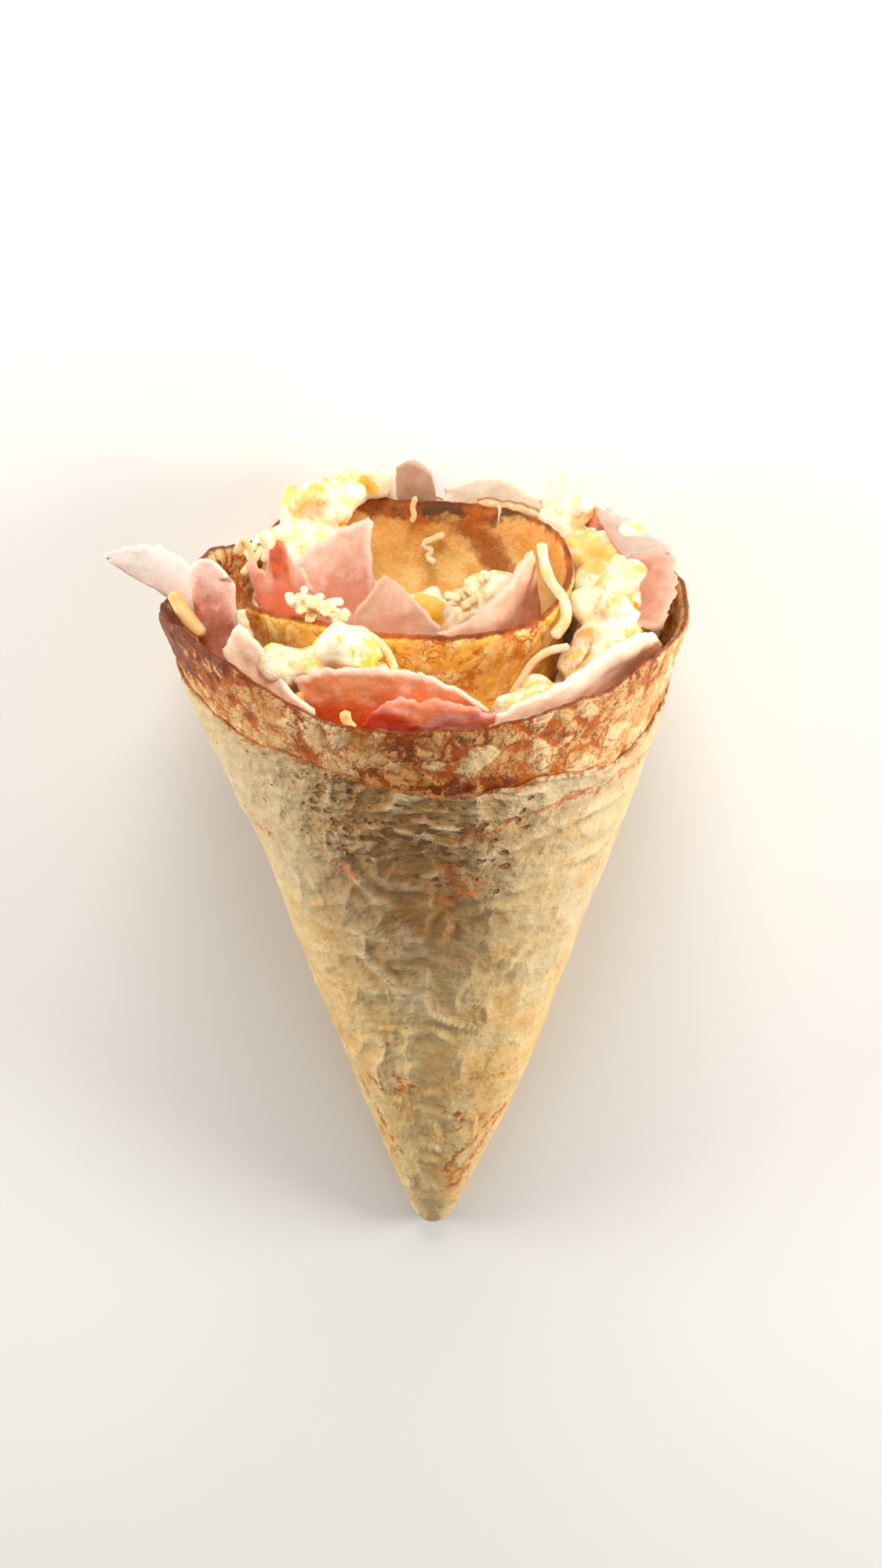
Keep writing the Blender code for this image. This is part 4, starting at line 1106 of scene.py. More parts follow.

# %% [markdown]
# Four lumps are modelled, each a small sphere that is dented by noise. Every curd is a copy of
# one of them, turned and stretched. Rays from above find where the egg shows, and a curd goes
# there if its neighbours leave it room. The large curds show most, so they are listed one by one:
# each has its radius and its place to the right, to the front and over the mouth.

# %% Curds
STREWN_TO = 0.053
RAYS_FROM = APEX_TO_MOUTH + 0.04
DOWN = Vector((0, 0, -1))
LUMPS = 4
CLEAR_SHARE, BIG_CLEAR_SHARE = 0.75, 0.8


def make_lump(number):
    bpy.ops.object.select_all(action="DESELECT")
    bpy.ops.mesh.primitive_ico_sphere_add(subdivisions=3, radius=1.0)
    lump = bpy.context.object
    lump.name = f"lump_{number}"
    points = places(lump)
    dents = 1 + 0.30 * swell(points, 0.95, 1, number * 5.0) + 0.16 * swell(points, 0.45, 1, number * 3.0)
    move_to(lump, points * dents[:, None])
    return lump


def one_curd(lump, centre, size, dice):
    """A copy of a lump, turned and stretched, at its place."""
    curd = bpy.data.objects.new("curd", lump.data.copy())
    bpy.context.scene.collection.objects.link(curd)
    stretch = Vector((dice.uniform(0.8, 1.35), dice.uniform(0.8, 1.2), dice.uniform(0.65, 0.95)))
    turn_and_size = Matrix.LocRotScale(None, None, stretch * size)
    for axis in "XYZ":
        turn_and_size = Matrix.Rotation(dice.uniform(0, math.pi), 4, axis) @ turn_and_size
    curd.data.transform(Matrix.Translation(centre) @ turn_and_size)
    return curd


def strew(lumps, count, sizes, seed, sink):
    """Copies of the lumps where the egg shows from above, sunk in by a share of their size."""
    dice = random.Random(seed)
    made = []
    for _ in range(count):
        away, turn = STREWN_TO * math.sqrt(dice.random()), dice.uniform(0, 2 * math.pi)
        size = sizes[0] + (sizes[1] - sizes[0]) * dice.random() ** 2
        start = Vector((away * math.sin(turn), away * math.cos(turn), RAYS_FROM))
        hit, _, _, distance = every_tree.ray_cast(start, DOWN)
        on_egg, normal, _, egg_distance = egg_tree.ray_cast(start, DOWN)
        if hit is None or on_egg is None or egg_distance > distance + 1e-5:
            continue
        centre = on_egg - normal * size * sink * (1 if normal.z > 0 else -1)
        size = min(size, neighbour_tree.find_nearest(centre)[3] / CLEAR_SHARE)
        if size > sizes[0] * 0.7:
            made.append(one_curd(lumps[dice.randrange(LUMPS)], centre, size, dice))
    return made


def join(main, others):
    """Joins the others into the main piece."""
    bpy.ops.object.select_all(action="DESELECT")
    for other in others:
        other.select_set(True)
    main.select_set(True)
    bpy.context.view_layer.objects.active = main
    bpy.ops.object.join()
    return main


BIG_CURDS = (
    (0.0050, (0.0320, -0.0360, 0.0075)), (0.0044, (0.0355, -0.0335, 0.0070)),
    (0.0044, (0.0310, -0.0290, 0.0050)), (0.0048, (0.0355, -0.0270, 0.0050)),
    (0.0048, (0.0340, -0.0205, 0.0040)), (0.0046, (0.0380, -0.0190, 0.0030)),
    (0.0044, (0.0410, -0.0120, 0.0015)), (0.0050, (0.0350, -0.0120, 0.0020)),
    (0.0052, (0.0395, -0.0050, 0.0020)), (0.0046, (0.0350, -0.0030, 0.0000)),
    (0.0052, (0.0410, 0.0030, 0.0010)), (0.0044, (0.0360, 0.0065, -0.0025)),
    (0.0050, (0.0405, 0.0110, 0.0000)), (0.0044, (0.0365, 0.0165, -0.0030)),
    (0.0040, (0.0420, 0.0180, 0.0005)), (0.0036, (0.0285, -0.0345, 0.0070)),
    (0.0038, (0.0430, -0.0060, 0.0010)), (0.0040, (0.0430, 0.0010, 0.0005)),
    (0.0036, (0.0335, 0.0235, -0.0035)), (0.0034, (0.0300, 0.0290, -0.0045)),
    (0.0042, (-0.0115, -0.0465, 0.0112)), (0.0046, (-0.0165, -0.0455, 0.0100)),
    (0.0040, (-0.0250, 0.0395, 0.0005)), (0.0040, (-0.0262, 0.0345, 0.0018)),
    (0.0036, (-0.0238, 0.0372, -0.0012)), (0.0044, (-0.0220, 0.0310, 0.0035)),
    (0.0046, (-0.0150, 0.0320, 0.0050)), (0.0040, (-0.0280, 0.0320, 0.0010)),
    (0.0040, (-0.0310, 0.0270, 0.0020)), (0.0038, (-0.0100, 0.0340, 0.0020)),
)
lumps = [make_lump(number) for number in range(LUMPS)]
curds = strew(lumps, 420, (0.0022, 0.0044), 3, 0.35) + strew(lumps, 700, (0.0009, 0.0018), 4, 0.45)
dice = random.Random(8)
for size, (right, front, over) in BIG_CURDS:
    centre = Vector((right, -front, APEX_TO_MOUTH + over))
    size = min(size, neighbour_tree.find_nearest(centre)[3] / BIG_CLEAR_SHARE)
    curds.append(one_curd(lumps[dice.randrange(LUMPS)], centre, size, dice))
print(len(curds), "curds found room")

# %% [markdown]
# The remesh fuses the curds with the core, like egg that sets in the pan. Then the skin gets two
# sizes of roughness, and every point keeps how hollow its spot is, because the finish paints the
# hollows a deeper yellow as shade.

# %% Melting the curds together
MELT_ROUNDS, HOLLOW_ROUNDS = 9, 6


def melt(piece):
    """Fuses what overlaps into one skin and softens it."""
    only(piece)
    remesh = piece.modifiers.new("melt", "REMESH")
    remesh.mode = "VOXEL"
    remesh.voxel_size = VOXEL
    bpy.ops.object.modifier_apply(modifier=remesh.name)
    soften = piece.modifiers.new("soften", "SMOOTH")
    soften.factor = 0.5
    soften.iterations = MELT_ROUNDS
    bpy.ops.object.modifier_apply(modifier=soften.name)


def neighbour_means(piece, values, rounds):
    """The values, averaged with those of the neighbouring points, so many times."""
    edges = np.empty(len(piece.data.edges) * 2, dtype=np.int64)
    piece.data.edges.foreach_get("vertices", edges)
    one, two = edges.reshape(-1, 2).T
    count = len(values)
    share = np.bincount(one, minlength=count) + np.bincount(two, minlength=count)
    for _ in range(rounds):
        columns = []
        for column in values.T:
            total = np.bincount(one, column[two], count) + np.bincount(two, column[one], count)
            columns.append(total / share)
        values = np.stack(columns, axis=-1)
    return values


def hollowness(piece):
    """How far each point lies under the smoothed surface, in millimetres."""
    smooth = neighbour_means(piece, places(piece), HOLLOW_ROUNDS)
    return ((smooth - places(piece)) * normals_of(piece)).sum(axis=1) * 1000


join(egg_top, curds)
egg_top.name = "egg_top"
melt(egg_top)
for lump in lumps:
    bpy.data.objects.remove(lump)
points = places(egg_top)
push_out(egg_top, 0.00045 * swell(points, 0.0046, 2, 1.0) + 0.00016 * swell(points, 0.0018, 2, 6.0))
points = places(egg_top)
room = np.array([neighbour_tree.find_nearest(Vector(p))[3] for p in points])
mark(egg_top, "hollow_shade", hollowness(egg_top))
print(len(points), "points in the egg, closest to its neighbours", round(room.min() * 1000, 2), "mm")

# %% [markdown]
# The white and the yolk were only half stirred, so a few curds are pure yolk, and some deep spots
# are painted amber as shade. They are listed one by one, each with its radius and its place to the
# right, to the back and over the mouth.

# %% Yolk
YOLKS = (
    (0.0024, (-0.0128, 0.0440, 0.0114)), (0.0028, (-0.0176, 0.0360, 0.0070)),
    (0.0052, (-0.0130, -0.0345, 0.0060)), (0.0036, (0.0346, 0.0340, 0.0083)),
    (0.0030, (0.0333, 0.0360, 0.0108)), (0.0034, (0.0413, -0.0020, 0.0041)),
    (0.0034, (0.0438, -0.0020, 0.0045)), (0.0030, (0.0327, -0.0140, 0.0004)),
    (0.0030, (0.0330, -0.0160, -0.0019)), (0.0024, (0.0407, -0.0180, 0.0012)),
    (0.0050, (0.0010, 0.0000, 0.0035)), (0.0046, (0.0020, -0.0060, 0.0030)),
    (0.0024, (0.0302, 0.0160, 0.0086)),
)
AMBER_SHADE_SPOTS = (
    (0.0050, (0.0320, -0.0080, 0.0033)), (0.0060, (0.0290, -0.0200, -0.0030)),
    (0.0050, (0.0318, -0.0160, -0.0010)), (0.0055, (-0.0262, -0.0365, 0.0002)),
    (0.0060, (-0.0237, -0.0385, -0.0022)), (0.0040, (0.0275, -0.0040, 0.0014)),
    (0.0030, (-0.0320, -0.0290, 0.0000)),
)


def mark_near(piece, name, spots):
    """Keeps how near each point is to one of some spots, 1 in the middle and 0 outside."""
    points = stirred(places(piece), 0.0035, 0.0022, 2.0)
    near = np.zeros(len(points))
    for size, (right, back, over) in spots:
        centre = np.array((right, back, APEX_TO_MOUTH + over))
        near = np.maximum(near, 1.25 - np.linalg.norm(points - centre, axis=1) / size)
    mark(piece, name, np.clip(near, 0, 1))


mark_near(egg_top, "yolk", YOLKS)
mark_near(egg_top, "amber_shade", AMBER_SHADE_SPOTS)
for name in ("hollow_shade", "yolk", "amber_shade"):
    mark(egg_foot, name, np.zeros(len(egg_foot.data.vertices)))
lay_down(egg_top, "egg", "egg")
lay_down(egg_foot, "egg", "egg")

# %% Finish of the egg
def set_egg():
    finish = Finish(
        "scrambled_egg", IOR=1.42, Coat_Weight=0.2, Coat_Roughness=0.2,
        Subsurface_Weight=0.45, Subsurface_Scale=0.004, Subsurface_Radius=(1.0, 0.8, 0.55),
    )
    hollow_shade, yolk, amber_shade = finish.read("hollow_shade"), finish.read("yolk"), finish.read("amber_shade")
    slow = finish.noise(0.011, 3.0)
    middle = finish.noise(0.0032, 4.0, 0.6)
    fine = finish.noise(0.0010, 3.0, 0.65)
    base = finish.mix(middle.rise(0.44, 0.68), tint(251, 237, 209), tint(252, 223, 154))
    patches = (slow + (fine - 0.5) * 0.3 + (middle - 0.5) * 0.6).rise(0.51, 0.66)
    base = finish.mix(patches * 0.80, base, tint(250, 190, 76))
    # Painted shade: the hollows are painted a deeper yellow and orange.
    base = finish.mix((hollow_shade + (fine - 0.5) * 0.4).rise(0.08, 0.75) * 0.62, base, tint(250, 190, 88))
    base = finish.mix((hollow_shade + (middle - 0.5) * 0.5).rise(0.45, 1.2) * 0.7, base, tint(246, 164, 44))
    yellow = (yolk + (fine - 0.5) * 0.4 + (middle - 0.5) * 0.8).rise(0.12, 0.48)
    base = finish.mix(yellow * 0.90, base, tint(250, 188, 46))
    base = finish.mix((yolk + (fine - 0.5) * 0.6).rise(0.75, 1.05) * 0.8, base, tint(248, 162, 12))
    # Painted shade: the low spots are amber.
    base = finish.mix((amber_shade + (middle - 0.5) * 0.7).rise(0.2, 0.7) * 0.85, base, tint(226, 146, 38))
    grain = finish.bump(fine * 0.5 + middle * 0.5, 0.00090, 0.9)
    finish.wear(egg_top, egg_foot, Base_Color=base, Roughness=0.34 + fine * 0.2, Normal=grain)


set_egg()
print("the egg is set")

# %% [markdown]
# ## The ham
#
# Thin slices of boiled ham are folded in with the egg. Each is a sheet between two lines, its
# lower and its upper edge, and both lines are smooth curves through a few points. The cut edges
# are a little ragged and thinner than the slice.

# %% The slices, each by its lower and its upper edge
HAM = 0.0014
HAM_SLICES = {
    "ham_flag": (
        (
            (-0.0657, 0.0046, 0.0150), (-0.0594, 0.0052, 0.0106), (-0.0546, 0.006, 0.0080),
            (-0.0498, 0.0060, 0.0035), (-0.0440, 0.0045, -0.010),
        ),
        (
            (-0.0663, 0.004, 0.0166), (-0.0618, 0.002, 0.0176), (-0.0554, 0.000, 0.0164),
            (-0.0505, -0.0015, 0.0126), (-0.0465, -0.0025, 0.006),
        ),
    ),
    "ham_fold": (
        (
            (-0.0460, 0.0105, -0.012), (-0.0435, 0.0135, -0.013), (-0.0405, 0.0150, -0.014),
            (-0.0385, 0.0155, -0.014),
        ),
        (
            (-0.0489, 0.0077, 0.0136), (-0.0477, 0.0080, 0.0167), (-0.0440, 0.0088, 0.0176),
            (-0.0395, 0.0105, 0.0125),
        ),
    ),
    "ham_corner": (
        (
            (-0.0380, 0.034, -0.008), (-0.0355, 0.0345, -0.010), (-0.0310, 0.0385, -0.010),
            (-0.0265, 0.0420, -0.010), (-0.0210, 0.0450, -0.010),
        ),
        (
            (-0.0410, 0.0300, 0.0072), (-0.0378, 0.0285, 0.0118), (-0.0332, 0.0325, 0.0084),
            (-0.0283, 0.0380, 0.0034), (-0.0225, 0.0440, 0.0006),
        ),
    ),
    "ham_front": (
        (
            (-0.0190, 0.0390, -0.010), (-0.0110, 0.0425, -0.011), (-0.0010, 0.0440, -0.011),
            (0.0080, 0.0435, -0.011), (0.0140, 0.0420, -0.010),
        ),
        (
            (-0.0263, 0.0370, 0.0040), (-0.0174, 0.0405, 0.0079), (-0.0063, 0.0430, 0.0092),
            (0.0032, 0.0440, 0.0073), (0.0130, 0.0445, 0.0014),
        ),
    ),
    "ham_lap": (
        (
            (-0.0100, 0.0466, -0.0075), (-0.0040, 0.0475, -0.0080), (0.0030, 0.0475, -0.0080),
            (0.0100, 0.0462, -0.0075),
        ),
        (
            (-0.0125, 0.0487, -0.0006), (-0.0085, 0.0490, 0.0030), (-0.0040, 0.0485, 0.0046),
            (0.0032, 0.0485, 0.0050), (0.0095, 0.0480, 0.0034), (0.0145, 0.0470, 0.0010),
        ),
    ),
    "ham_right_strip": (
        (
            (0.0150, 0.0490, -0.009), (0.0205, 0.0465, -0.009), (0.0270, 0.0425, -0.008),
            (0.0340, 0.0360, -0.007), (0.0405, 0.0275, -0.006), (0.0450, 0.0180, -0.006),
        ),
        (
            (0.0149, 0.0465, 0.0004), (0.0203, 0.0445, 0.0030), (0.0255, 0.0425, 0.0039),
            (0.0302, 0.0395, 0.0056), (0.0367, 0.0340, 0.0078), (0.0418, 0.0290, 0.0090),
            (0.0462, 0.0232, 0.0076), (0.0492, 0.0170, 0.0022),
        ),
    ),
    "ham_right": (
        (
            (0.0437, 0.0090, 0.0016), (0.0460, 0.0020, 0.0041), (0.0460, -0.0060, 0.0062),
            (0.0445, -0.0120, 0.0082),
        ),
        (
            (0.0506, 0.0090, 0.0019), (0.0522, 0.0030, 0.0055), (0.0530, -0.0040, 0.0082),
            (0.0525, -0.0110, 0.0100),
        ),
    ),
    "ham_pale": (
        (
            (0.0440, -0.0110, 0.0075), (0.0410, -0.0170, 0.0090), (0.0390, -0.0220, 0.0105),
            (0.0375, -0.0280, 0.0115),
        ),
        (
            (0.0530, -0.0130, 0.0100), (0.0499, -0.0195, 0.0103), (0.0451, -0.0260, 0.0107),
            (0.0405, -0.0315, 0.0105),
        ),
    ),
    "ham_wedge": (
        ((0.0360, -0.0255, -0.006), (0.0373, -0.0240, -0.006), (0.0386, -0.0222, -0.006)),
        ((0.0362, -0.0335, 0.0098), (0.0382, -0.0330, 0.0108), (0.0404, -0.0312, 0.0088)),
    ),
    "ham_back": (
        (
            (0.0045, -0.0455, -0.006), (0.0110, -0.0455, -0.006), (0.0170, -0.0440, -0.006),
            (0.0235, -0.0415, -0.006),
        ),
        (
            (0.0045, -0.0475, 0.0090), (0.0119, -0.0485, 0.0110), (0.0188, -0.0475, 0.0112),
            (0.0262, -0.0445, 0.0075),
        ),
    ),
    "ham_curl": (
        (
            (-0.0080, -0.0470, -0.004), (-0.0055, -0.0470, -0.004), (-0.0030, -0.0468, -0.004),
            (0.0000, -0.0465, -0.004), (0.0020, -0.0462, -0.004),
        ),
        (
            (-0.0091, -0.0490, 0.0080), (-0.0065, -0.0490, 0.0130), (-0.0030, -0.0485, 0.0152),
            (0.0010, -0.0480, 0.0130), (0.0024, -0.0475, 0.0085),
        ),
    ),
    "ham_inner_back": (
        (
            (-0.0250, -0.0060, -0.010), (-0.0205, -0.0065, -0.010), (-0.0160, -0.0080, -0.010),
            (-0.0105, -0.0110, -0.010),
        ),
        (
            (-0.0280, -0.0170, 0.0055), (-0.0240, -0.0190, 0.0080), (-0.0185, -0.0215, 0.0105),
            (-0.0122, -0.0240, 0.0129),
        ),
    ),
    "ham_inner_front": (
        (
            (-0.0150, 0.0140, -0.009), (-0.0105, 0.0160, -0.009), (-0.0060, 0.0175, -0.009),
            (-0.0020, 0.0180, -0.009), (0.0015, 0.0185, -0.009),
        ),
        (
            (-0.0150, 0.0080, 0.0042), (-0.0118, 0.0058, 0.0080), (-0.0086, 0.0042, 0.0112),
            (-0.0060, 0.0058, 0.0108), (-0.0015, 0.0105, 0.0084), (0.0034, 0.0160, 0.0052),
        ),
    ),
    "ham_crescent": (
        (
            (0.0050, 0.0205, -0.009), (0.0120, 0.0180, -0.009), (0.0185, 0.0120, -0.008),
            (0.0225, 0.0030, -0.006), (0.0245, -0.0060, -0.004),
        ),
        (
            (0.0027, 0.0195, 0.0059), (0.0100, 0.0150, 0.0068), (0.0137, 0.0110, 0.0084),
            (0.0172, 0.0050, 0.0097), (0.0197, -0.0010, 0.0116), (0.0232, -0.0075, 0.0126),
        ),
    ),
    "ham_red": (
        (
            (-0.0330, 0.0010, -0.008), (-0.0300, 0.0030, -0.008), (-0.0275, 0.0045, -0.008),
            (-0.0245, 0.0050, -0.008), (-0.0215, 0.0055, -0.008),
        ),
        (
            (-0.0375, -0.0040, 0.0120), (-0.0345, -0.0035, 0.0095), (-0.0315, -0.0050, 0.0145),
            (-0.0275, -0.0030, 0.0115), (-0.0248, 0.0000, 0.0090),
        ),
    ),
}


def along(line, share):
    """Points on the smooth curve through a line of (right, front, over), as upright places."""
    reach = share * (len(line) - 1)
    tables = ([(number, spot[axis]) for number, spot in enumerate(line)] for axis in range(3))
    right, front, over = (curve_at(table, reach) for table in tables)
    return np.stack([right, -front, APEX_TO_MOUTH + over], axis=-1)


def length_of(line):
    steps = np.diff(along(line, np.linspace(0, 1, 30)), axis=0)
    return float(np.linalg.norm(steps, axis=1).sum())


print(len(HAM_SLICES), "slices of ham")

# %% A slice
def keep_inside(points, margin):
    """Moves points that would be in the crepe's wall inwards."""
    height = points[:, 2]
    right = points[:, 0] - axis_bend(height)
    degrees = np.degrees(np.arctan2(right, -points[:, 1]))
    limit = cone_radius(degrees, height) - WALL - margin
    radius = np.hypot(right, points[:, 1])
    share = np.where(radius > limit, limit / radius, 1.0)
    return np.stack([right * share + axis_bend(height), points[:, 1] * share, height], axis=-1)


SLICE_GRID = 0.0006
STICKS_OUT = "ham_flag"
OFF_WALL = 0.0002
CRUMPLED = {
    "ham_pale": (0.0018, 0.0010), "ham_right": (0.0022, 0.0014), "ham_back": (0.0012, 0.0010),
    "ham_wedge": (0.0008, 0.0010), "ham_inner_back": (0.0009, 0.0010), "ham_flag": (0.0010, 0.0008),
    "ham_inner_front": (0.0008, 0.0007), "ham_crescent": (0.0009, 0.0008), "ham_lap": (0.0010, 0.0012),
    "ham_corner": (0.0009, 0.0007), "ham_red": (0.0010, 0.0018), "ham_fold": (0.0007, 0.0004),
    "ham_front": (0.0009, 0.0008), "ham_right_strip": (0.0008, 0.0008), "ham_curl": (0.0005, 0.0003),
}


def make_slice(name, lower, upper, seed):
    """One slice. CRUMPLED says how high its waves are and how ragged its edges."""
    waves, ragged = CRUMPLED[name]
    wide = max(length_of(lower), length_of(upper))
    halfway = np.array([0.5])
    tall = float(np.linalg.norm(along(upper, halfway) - along(lower, halfway)))
    columns, rows = max(12, round(wide / SLICE_GRID)), max(10, round(tall / SLICE_GRID))
    sheet, column, row = flat_sheet(name + "_slice", columns, rows)
    u, v = column / columns, row / rows
    low, high = along(lower, u), along(upper, u)
    up = (high - low) / np.linalg.norm(high - low, axis=1)[:, None]
    edge = np.stack([u * wide, 0 * u, 0 * u], axis=-1)
    tear = ragged * swell(edge, 0.0035, 3, seed * 2.3)
    tear = tear + 0.4 * ragged * swell(edge, 0.0012, 2, seed * 1.1)
    points = low + (high - low) * v[:, None] + up * (tear * v**3)[:, None]
    side = np.stack([v * tall, 0 * v, 0 * v + 0.01], axis=-1)
    pull = ragged * (swell(side, 0.003, 2, seed * 3.1) - 0.3)
    across = along(upper, np.clip(u + 0.02, 0, 1)) - along(upper, np.clip(u - 0.02, 0, 1))
    across /= np.linalg.norm(across, axis=1)[:, None]
    points += across * (pull * ((1 - 2 * u) * np.abs(1 - 2 * u) ** 9))[:, None]
    facing = np.cross(across, up)
    facing /= np.linalg.norm(facing, axis=1)[:, None]
    bent = waves * swell(points, 0.008, 1, seed * 1.9)
    bent = bent + 0.45 * waves * swell(points, 0.0032, 1, seed * 0.7)
    points += facing * (bent * (0.4 + 0.6 * v))[:, None]
    if name != STICKS_OUT:
        points = keep_inside(points, OFF_WALL + HAM / 2)
    move_to(sheet, points)
    to_edge = np.minimum(np.minimum(u, 1 - u) * wide, (1 - v) * tall)
    mark(sheet, "to_edge", to_edge * 1000)
    mark(sheet, "to_top", (1 - v) * tall * 1000)
    mark(sheet, "across", u * wide * 1000)
    thicken(sheet, HAM, fade(to_edge / 0.0009))
    push_out(sheet, 0.00010 * swell(places(sheet), 0.0011, 2, seed))
    return sheet


ham = {}
for number, (name, (lower, upper)) in enumerate(HAM_SLICES.items()):
    ham[name] = make_slice(name, lower, upper, number + 1)
    close_up(ham[name], 1e-7)
    lay_down(ham[name], "ham", name)

# %% [markdown]
# Boiled ham is pink with a cloudy grain. It is paler along some of its cut edges, partly where fat
# runs and partly as painted light that the thin edge lets through, and it is painted darker as shade
# where it lies low between its neighbours. Each slice has its own flesh, its own deep part and its
# own rim, set partly as painted light and shade for where the slice lies, and the rim has its width
# in millimetres and its strength. Five slices have something more: a white part, a scorched one, red
# specks, and pale streaks with dark red painted shade under a fold.

# %% Finish of the ham
# The tones are partly the ham's own and partly painted light and shade: slices lying in shade, such as
# ham_corner and ham_right_strip, are painted paler, and each deep part is also painted shade low in the
# slice.
HAM_TONES_AND_PAINTED_LIGHT = {
    "ham_flag": ((214, 202, 194), (204, 176, 162), (224, 214, 206), 2.0, 0.35),
    "ham_fold": ((244, 206, 190), (196, 120, 94), (244, 220, 208), 1.0, 0.35),
    "ham_corner": ((255, 226, 196), (255, 206, 166), (255, 234, 216), 1.4, 0.4),
    "ham_front": ((242, 158, 106), (230, 98, 34), (250, 214, 192), 1.9, 0.78),
    "ham_lap": ((240, 142, 96), (190, 48, 6), (242, 162, 124), 1.2, 0.25),
    "ham_right_strip": ((255, 222, 196), (255, 204, 170), (255, 232, 212), 1.4, 0.4),
    "ham_right": ((204, 146, 118), (182, 84, 54), (224, 190, 166), 2.2, 0.45),
    "ham_pale": ((204, 182, 164), (192, 150, 132), (214, 200, 184), 1.5, 0.4),
    "ham_wedge": ((224, 146, 120), (204, 104, 76), (240, 206, 188), 0.8, 0.3),
    "ham_back": ((246, 230, 206), (240, 204, 174), (250, 240, 222), 2.0, 0.4),
    "ham_curl": ((194, 156, 130), (184, 140, 114), (216, 188, 168), 0.7, 0.4),
    "ham_inner_back": ((214, 178, 152), (208, 132, 102), (228, 204, 186), 1.8, 0.50),
    "ham_inner_front": ((210, 164, 136), (206, 142, 110), (222, 188, 164), 0.9, 0.30),
    "ham_crescent": ((216, 168, 138), (210, 140, 108), (226, 192, 166), 1.4, 0.5),
    "ham_red": ((226, 164, 138), (216, 112, 74), (236, 200, 176), 0.9, 0.4),
}


def boiled_ham(name, flesh, deep_tone_and_low_shade, rim, rim_width, rim_strength):
    finish = Finish(
        name + "_flesh", IOR=1.4, Coat_Weight=0.12, Coat_Roughness=0.25,
        Subsurface_Weight=0.2, Subsurface_Scale=0.002, Subsurface_Radius=(1.0, 0.45, 0.3),
    )
    to_edge, to_top = finish.read("to_edge"), finish.read("to_top")
    slow = finish.noise(0.009, 2.0)
    middle = finish.noise(0.0034, 3.0, 0.55)
    fine = finish.noise(0.0007, 3.0, 0.6)
    # Painted shade: each slice darkens to its deep part low down, away from its top edge.
    base = finish.mix((to_top + (slow - 0.5) * 6).rise(2.0, 11.0), tint(*flesh), tint(*deep_tone_and_low_shade))
    base = finish.mix(middle.rise(0.50, 0.68) * 0.30, base, tint(*rim))
    base = finish.mix(middle.rise(0.50, 0.32) * 0.35, base, tint(*deep_tone_and_low_shade))
    base = finish.mix(fine.rise(0.58, 0.74) * 0.25, base, tint(*rim))
    # The pale rim is partly fat and partly painted light through the thin edge.
    edge = (to_edge + (middle - 0.5) * 1.8 + (slow - 0.5) * 1.5).rise(rim_width, rim_width * 0.3)
    base = finish.mix(edge * rim_strength, base, tint(*rim))
    if name == "ham_curl":
        white = (finish.read("across") + (middle - 0.5) * 2.0).rise(5.4, 4.6)
        base = finish.mix(white, base, tint(252, 240, 220))
    if name == "ham_red":
        off_spot = (finish.read("across") + (slow - 0.5) * 2 - 10.5).size()
        scorched = off_spot.rise(3.4, 1.8) * to_top.rise(9.0, 5.0)
        scorch = finish.mix(middle.rise(0.4, 0.6), tint(218, 100, 40), tint(180, 56, 12))
        base = finish.mix(scorched * 0.85, base, scorch)
    if name in ("ham_fold", "ham_wedge"):
        spots = finish.noise(0.0024, 1.0, 0.4, 0.0).rise(0.68, 0.74)
        base = finish.mix(spots * 0.7, base, tint(160, 60, 54))
    if name == "ham_lap":
        across = finish.read("across")
        # Painted shade: dark red under the lap's fold.
        red = (across * 0.9 + to_top * -1.3 + (middle - 0.5) * 4).rise(8.0, 3.0)
        base = finish.mix(red * 0.92, base, tint(188, 44, 4))
        slant = {"Vector": finish.place, "Rotation": (0, 0, -0.6), "Scale": (0.35, 1.6, 1.0)}
        tilted = finish.add("ShaderNodeMapping", None, slant)
        streaks = finish.noise(0.0030, 3.0, 0.5, 0.4, tilted).rise(0.46, 0.64)
        base = finish.mix(streaks * (1 - red * 0.8) * 0.70, base, tint(234, 176, 168))
    grain = finish.bump(fine * 0.4 + middle * 0.6, 0.00040, 0.8)
    finish.wear(ham[name], Base_Color=base, Roughness=0.36 + fine * 0.18, Normal=grain)


for name, tones in HAM_TONES_AND_PAINTED_LIGHT.items():
    boiled_ham(name, *tones)
print("every slice has its own pink")

# %% [markdown]
# ## The cheese
#
# Grated cheese falls in thin strips. A strip is a grid rolled into a rod round its own line, a
# little flat and not quite even, with closed ends. Crumbs are short strips.

